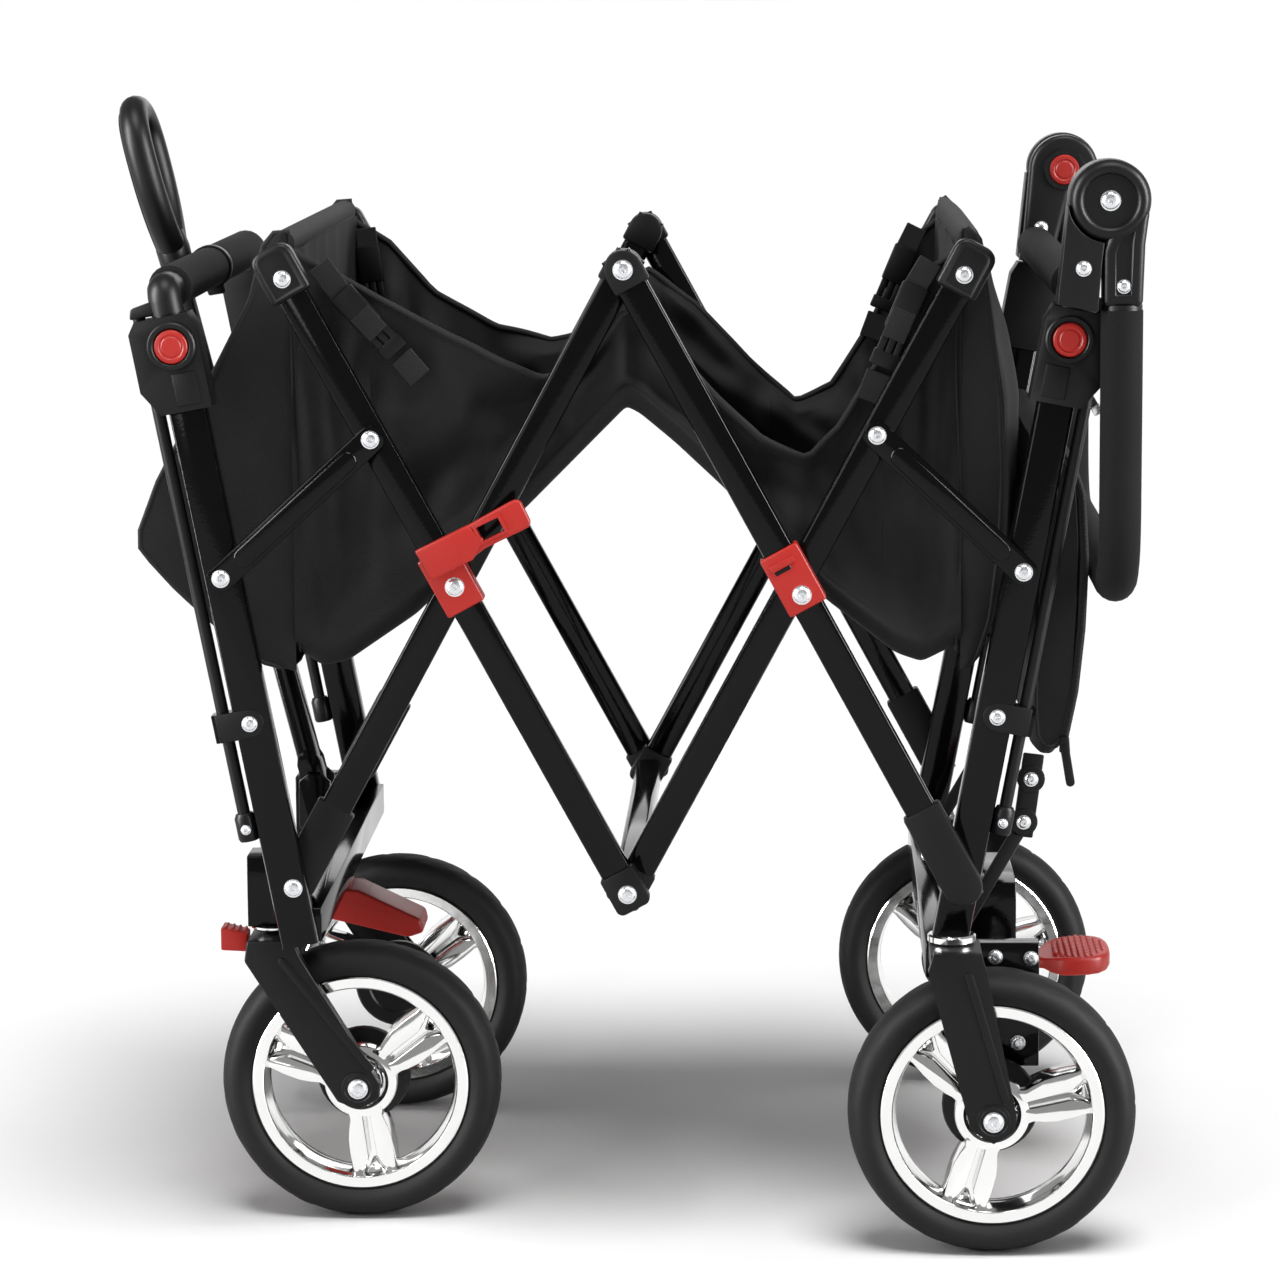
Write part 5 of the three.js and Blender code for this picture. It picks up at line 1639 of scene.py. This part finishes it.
def build_bag(sizes):
    """Rear storage bag: a lofted pouch with crowned faces, piping and a zip down its edge."""
    outline = [(0.2860, 0.572), (0.2850, 0.470), (0.2846, 0.372), (0.2870, 0.350), (0.298, 0.3425),
               (0.3110, 0.352), (0.3195, 0.392), (0.3252, 0.452), (0.3265, 0.500), (0.3225, 0.548),
               (0.3120, 0.570), (0.2960, 0.5765)]
    half = 0.205
    loop_points = [along_line(outline + [outline[0]], i / 48) for i in range(48)]
    cx = sum(p[0] for p in loop_points) / 48
    cz = sum(p[1] for p in loop_points) / 48

    def place(u, v):
        index = (u % 1.0) * 48
        i = int(index) % 48
        k = index - int(index)
        a, b = loop_points[i], loop_points[(i + 1) % 48]
        x, z = a[0] + (b[0] - a[0]) * k, a[1] + (b[1] - a[1]) * k
        y = (v * 2 - 1) * half
        share = abs(v * 2 - 1)
        pull = 1 - 0.10 * eased((share - 0.86) / 0.14)
        x = cx + (x - cx) * (1 - 0.34 * eased((share - 0.80) / 0.20))
        return Vector((MIDDLE + x, y, cz + (z - cz) * pull))

    def folds(point, u, v):
        out = 1 if point.x > MIDDLE + cx else -0.2
        ripple = noise.noise(Vector((point.y * 11, 8.0, point.z * 10)))
        sag = 0.004 * eased((0.46 - point.z) / 0.10)
        return Vector((out * (0.0028 * ripple - 0.001), 0, -0.2 * sag))

    pouch, _, _ = woven_sheet(place, 96, 44, folds, 0.0)
    with Editing(pouch) as mesh:
        mesh.remove_doubles(threshold=1e-5)
        mesh.select_all(action="DESELECT")
        mesh.select_non_manifold()
        mesh.edge_face_add()
        mesh.select_all(action="SELECT")
        mesh.normals_make_consistent(inside=False)
    sewn_bag(pouch, "rear_pouch", "rear_frame", "rear_bag")
    for side, s in SIDES:
        path = [place(i / 60, 0.5 + 0.47 * s) + Vector((0.0010, 0, 0)) for i in range(61)]
        bound(tube(path, PIPING, resolution=2), f"pouch_piping_{side}", "rear_frame")
    # zip: tape, teeth and pull along the near outer edge
    way = [Vector((MIDDLE + x, -0.2040, z)) for x, z in
           ((0.3098, 0.362), (0.3165, 0.395), (0.3212, 0.440), (0.3232, 0.490), (0.3208, 0.536),
            (0.3120, 0.560))]
    path = corners_rounded(way, 0.05, 5)
    tape = tube(path, 0.0030, resolution=2)
    for vertex in tape.data.vertices:
        vertex.co.y = -0.2040 + (vertex.co.y + 0.2040) * 0.55
    bound(tape, "zip_tape", "rear_frame")
    teeth = []
    tooth = slab([(-0.0009, -0.0014), (0.0009, -0.0014), (0.0009, 0.0014), (-0.0009, 0.0014)],
                 -0.0062, -0.0042, 0.0)
    for i in range(56):
        x, z = along_line([(p.x, p.z) for p in path], (i + 0.5) / 56)
        teeth.append(copied(tooth, Matrix.Translation((x, -0.2002, z))))
    bpy.data.objects.remove(tooth)
    moulded(joined(*teeth), "zip_teeth", "rear_frame")
    x, z = MIDDLE + 0.3098, 0.357
    slider = slab([(x - 0.004, z - 0.006), (x + 0.004, z - 0.006), (x + 0.003, z + 0.006),
                   (x - 0.003, z + 0.006)], -0.2085, -0.2035, 0.0012, 2)
    pull_tab = slab(capped_strip(Vector((x, 0, z - 0.003)), Vector((x + 0.004, 0, z - 0.027)),
                                 0.0032, 8, True),
                    -0.2100, -0.2086, 0.0005, 2)
    moulded(joined(slider, pull_tab), "zip_pull", "rear_frame")
    places = ((0.286, 0.205, -1), (0.277, 0.1435, -1), (0.2606, 0.206, -1), (0.286, 0.205, 1),
              (0.277, 0.1435, 1))
    bolts("bag_bolts", "rear_frame",
          *(side_bolt(from_middle(x, z), s, 0.2226, 0.0046) for x, z, s in places))
    # hinge plates that hold the bag's stiffener
    for side, s in SIDES:
        plates = []
        for x, z in ((0.286, 0.332), (0.281, 0.301)):
            plates.append(disc(from_middle(x, z), 0.0100, 0.2030, 0.2085, 0.001, 24, 0.0, s))
        arm = side_slab(strip(from_middle(0.288, 0.350), from_middle(0.280, 0.290), 0.0075),
                        s, 0.2040, 0.2075, 0.0012)
        brace = side_slab(strip(from_middle(0.281, 0.300), from_middle(0.236, 0.222), 0.0050),
                          s, 0.2040, 0.2075, 0.0012)
        moulded(joined(arm, brace, *plates), f"bag_hinge_{side}", "rear_frame")
        bolts(f"bag_hinge_bolts_{side}", "rear_frame",
              side_bolt(from_middle(0.286, 0.332), s, 0.2083, 0.0044),
              side_bolt(from_middle(0.281, 0.301), s, 0.2083, 0.0044))


def buckle(a, b, mid_y, half):
    """A side-release buckle between two (x, z) points: shell, two prongs and a ladder end."""
    way = (b - a).normalized()
    side = Vector((way.z, 0, -way.x))
    low, high = mid_y - 0.0035, mid_y + 0.0035
    third = (b - a).length / 3
    shell = slab(strip(a, a + way * third * 1.7, half), low, high, 0.0018, 2)
    prongs = [
        slab(strip(a + way * third * 1.6 + side * k * half * 0.62,
                   b - way * third * 0.35 + side * k * half * 0.62,
                   half * 0.26), low + 0.001, high - 0.001, 0.0010, 2)
        for k in (-1, 0, 1)
    ]
    ladder = slab(strip(b - way * third * 0.55, b, half), low + 0.0005, high - 0.0005, 0.0012, 2)
    return joined(shell, *prongs, ladder)


def build_straps(sizes):
    """Webbing straps and side-release buckles at the basket's corners."""
    near_runs = {
        -1: [(-0.2120, 0.7000), (-0.1985, 0.6820), (-0.1800, 0.6620), (-0.1590, 0.6400),
             (-0.1440, 0.6225)],
        1: [(0.2120, 0.7000), (0.2030, 0.6850), (0.1920, 0.6600), (0.1790, 0.6280),
            (0.1700, 0.6050)],
    }
    far_runs = {
        -1: [(-0.2230, 0.7000), (-0.2215, 0.6880), (-0.2190, 0.6660), (-0.2150, 0.6360),
             (-0.2110, 0.6150)],
        1: [(0.2160, 0.6990), (0.2090, 0.6850), (0.2000, 0.6620), (0.1880, 0.6350),
            (0.1800, 0.6130)],
    }
    half = 0.0084
    for side, s in SIDES:
        for end, run in (near_runs if s < 0 else far_runs).items():
            body = "front_outer" if end < 0 else "rear_inner"
            mid_y = s * (0.2325 if (end < 0 and s < 0) else 0.2290 if s < 0 else 0.2170)
            pts = [Vector((MIDDLE + x, 0, z)) for x, z in run]
            moulded(buckle(pts[1], pts[3], mid_y, half + 0.0012),
                    f"strap_buckle_{END_WORD[end]}_{side}", body)
            low, high = mid_y - 0.0009, mid_y + 0.0009
            ladder_end = pts[3] + (pts[4] - pts[3]) * 0.2
            webs = [
                slab(strip(pts[0], pts[1], half, 0.002), low, high, 0.0006, 1),
                slab(strip(ladder_end, pts[4], half + 0.0006, 0.001), low, high, 0.0006, 1),
                slab(strip(pts[1] + (pts[2] - pts[1]) * 0.7, pts[2] + (pts[3] - pts[2]) * 0.4, half,
                           0.0),
                     mid_y + s * 0.0034 - 0.0006, mid_y + s * 0.0034 + 0.0006, 0.0004, 1),
            ]
            bound(joined(*webs), f"strap_web_{END_WORD[end]}_{side}", body, angle=35)
    # carry strap beside the rear socket
    a, b = Vector((MIDDLE + 0.3120, 0, 0.627)), Vector((MIDDLE + 0.3275, 0, 0.600))
    strap = slab(strip(a, b, 0.0028), -0.2330, -0.2310, 0.0006, 1)
    bound(strap, "tie_strap", "rear_frame", angle=35)
    tip = slab(strip(b - (b - a).normalized() * 0.001, b + (b - a).normalized() * 0.006, 0.0034),
               -0.2338, -0.2302, 0.0008, 2)
    zinc_plated(tip, "tie_strap_tip", "rear_frame")


# ---- add-on -------------------------------------------------------------------------------
class CartSizes(bpy.types.PropertyGroup):
    """The sizes and colours that can be changed."""

    bar_edge: bpy.props.FloatProperty(
        name="Bar edge", description="Rounding of the steel bars' long edges",
        default=0.0040, min=0.0002, max=0.005, subtype="DISTANCE", unit="LENGTH")
    paint_colour: bpy.props.FloatVectorProperty(
        name="Paint", description="Colour of the powder-coated steel",
        default=(0.0022, 0.0022, 0.0024), subtype="COLOR", min=0, max=1)
    plastic_colour: bpy.props.FloatVectorProperty(
        name="Plastic", description="Colour of the moulded black plastic",
        default=(0.0040, 0.0040, 0.0044), subtype="COLOR", min=0, max=1)
    foam_colour: bpy.props.FloatVectorProperty(
        name="Foam", description="Colour of the foam sleeves",
        default=(0.0050, 0.0050, 0.0052), subtype="COLOR", min=0, max=1)
    cloth_colour: bpy.props.FloatVectorProperty(
        name="Cloth", description="Colour of the basket's cloth",
        default=(0.0170, 0.0170, 0.0176), subtype="COLOR", min=0, max=1)
    red_colour: bpy.props.FloatVectorProperty(
        name="Red parts", description="Colour of the latch, pedals and buttons",
        default=(0.52, 0.019, 0.012), subtype="COLOR", min=0, max=1)
    tyre_colour: bpy.props.FloatVectorProperty(
        name="Tyres", description="Colour of the tyres",
        default=(0.0085, 0.0084, 0.0083), subtype="COLOR", min=0, max=1)
    chrome_colour: bpy.props.FloatVectorProperty(
        name="Chrome", description="Tint of the plated rims",
        default=(0.88, 0.88, 0.87), subtype="COLOR", min=0, max=1)
    zinc_colour: bpy.props.FloatVectorProperty(
        name="Zinc", description="Tint of the bolts",
        default=(0.70, 0.71, 0.73), subtype="COLOR", min=0, max=1)
    floor_colour: bpy.props.FloatVectorProperty(
        name="Floor", description="Colour of the studio floor",
        default=(0.90, 0.90, 0.90), subtype="COLOR", min=0, max=1)


def cart_operator(name, label, text, build):
    """An operator that builds one group of pieces."""

    def execute(self, context):
        build(context.scene.cart_sizes)
        return {"FINISHED"}

    return type(
        f"CART_OT_{name}", (bpy.types.Operator,),
        {"bl_idname": f"cart.{name}", "bl_label": label, "__doc__": text, "execute": execute},
    )


STEPS = (
    ("stage", "Studio stage", "Adds the floor and the soft lights", build_stage),
    ("wheels", "Wheels", "Models the tyres, chrome rims and hub drums", build_wheels),
    ("forks", "Forks", "Rounds the forks and adds ribs, bosses and races", build_forks),
    ("bars", "Steel frame", "Rounds the bars, posts and cross tubes", build_bars),
    ("caps", "Bar ends", "Models the hoods, caps and foot sleeves", build_caps),
    ("stays", "Stays", "Models the four stay links", build_stays),
    ("latch", "Latch", "Models the latch arm and finishes its sleeves", build_latch),
    ("pedals", "Pedals", "Finishes the pedals and caster locks", build_pedals),
    ("sockets", "Sockets", "Finishes the height sockets, buttons and clips", build_sockets),
    ("bail", "Front bail", "Models the front bail and its sleeves", build_bail),
    ("push_frame", "Push frame", "Models the fixed knuckles and the rear bar", build_push_frame),
    ("push_handle", "Push handle", "Models the turning knuckles and the handle", build_push_handle),
    ("pull_handle", "Pull handle", "Models the pull pole's grip", build_pull_handle),
    ("trough", "Basket trough", "Hangs the basket's sides and floor", build_trough),
    ("end_panels", "Basket ends", "Wraps the cloth over the basket's ends", build_end_panels),
    ("bag", "Rear bag", "Models the rear bag with its zip", build_bag),
    ("straps", "Straps", "Adds the straps and buckles", build_straps),
)
OPERATORS = [cart_operator(*step) for step in STEPS]


class CART_PT_parts(bpy.types.Panel):
    """The cart's building steps."""

    bl_label = "Beach cart"
    bl_idname = "CART_PT_parts"
    bl_space_type = "VIEW_3D"
    bl_region_type = "UI"
    bl_category = "Cart"

    def draw(self, context):
        sizes = context.scene.cart_sizes
        for name in CartSizes.__annotations__:
            self.layout.prop(sizes, name)
        for operator in OPERATORS:
            self.layout.operator(operator.bl_idname)


CLASSES = (CartSizes, *OPERATORS, CART_PT_parts)


def register():
    for cls in CLASSES:
        bpy.utils.register_class(cls)
    bpy.types.Scene.cart_sizes = bpy.props.PointerProperty(type=CartSizes)


def unregister():
    del bpy.types.Scene.cart_sizes
    for cls in reversed(CLASSES):
        bpy.utils.unregister_class(cls)


def main():
    register()
    build_camera()
    for operator in OPERATORS:
        group, name = operator.bl_idname.split(".")
        getattr(getattr(bpy.ops, group), name)()
    clear()


if __name__ == "__main__":
    main()
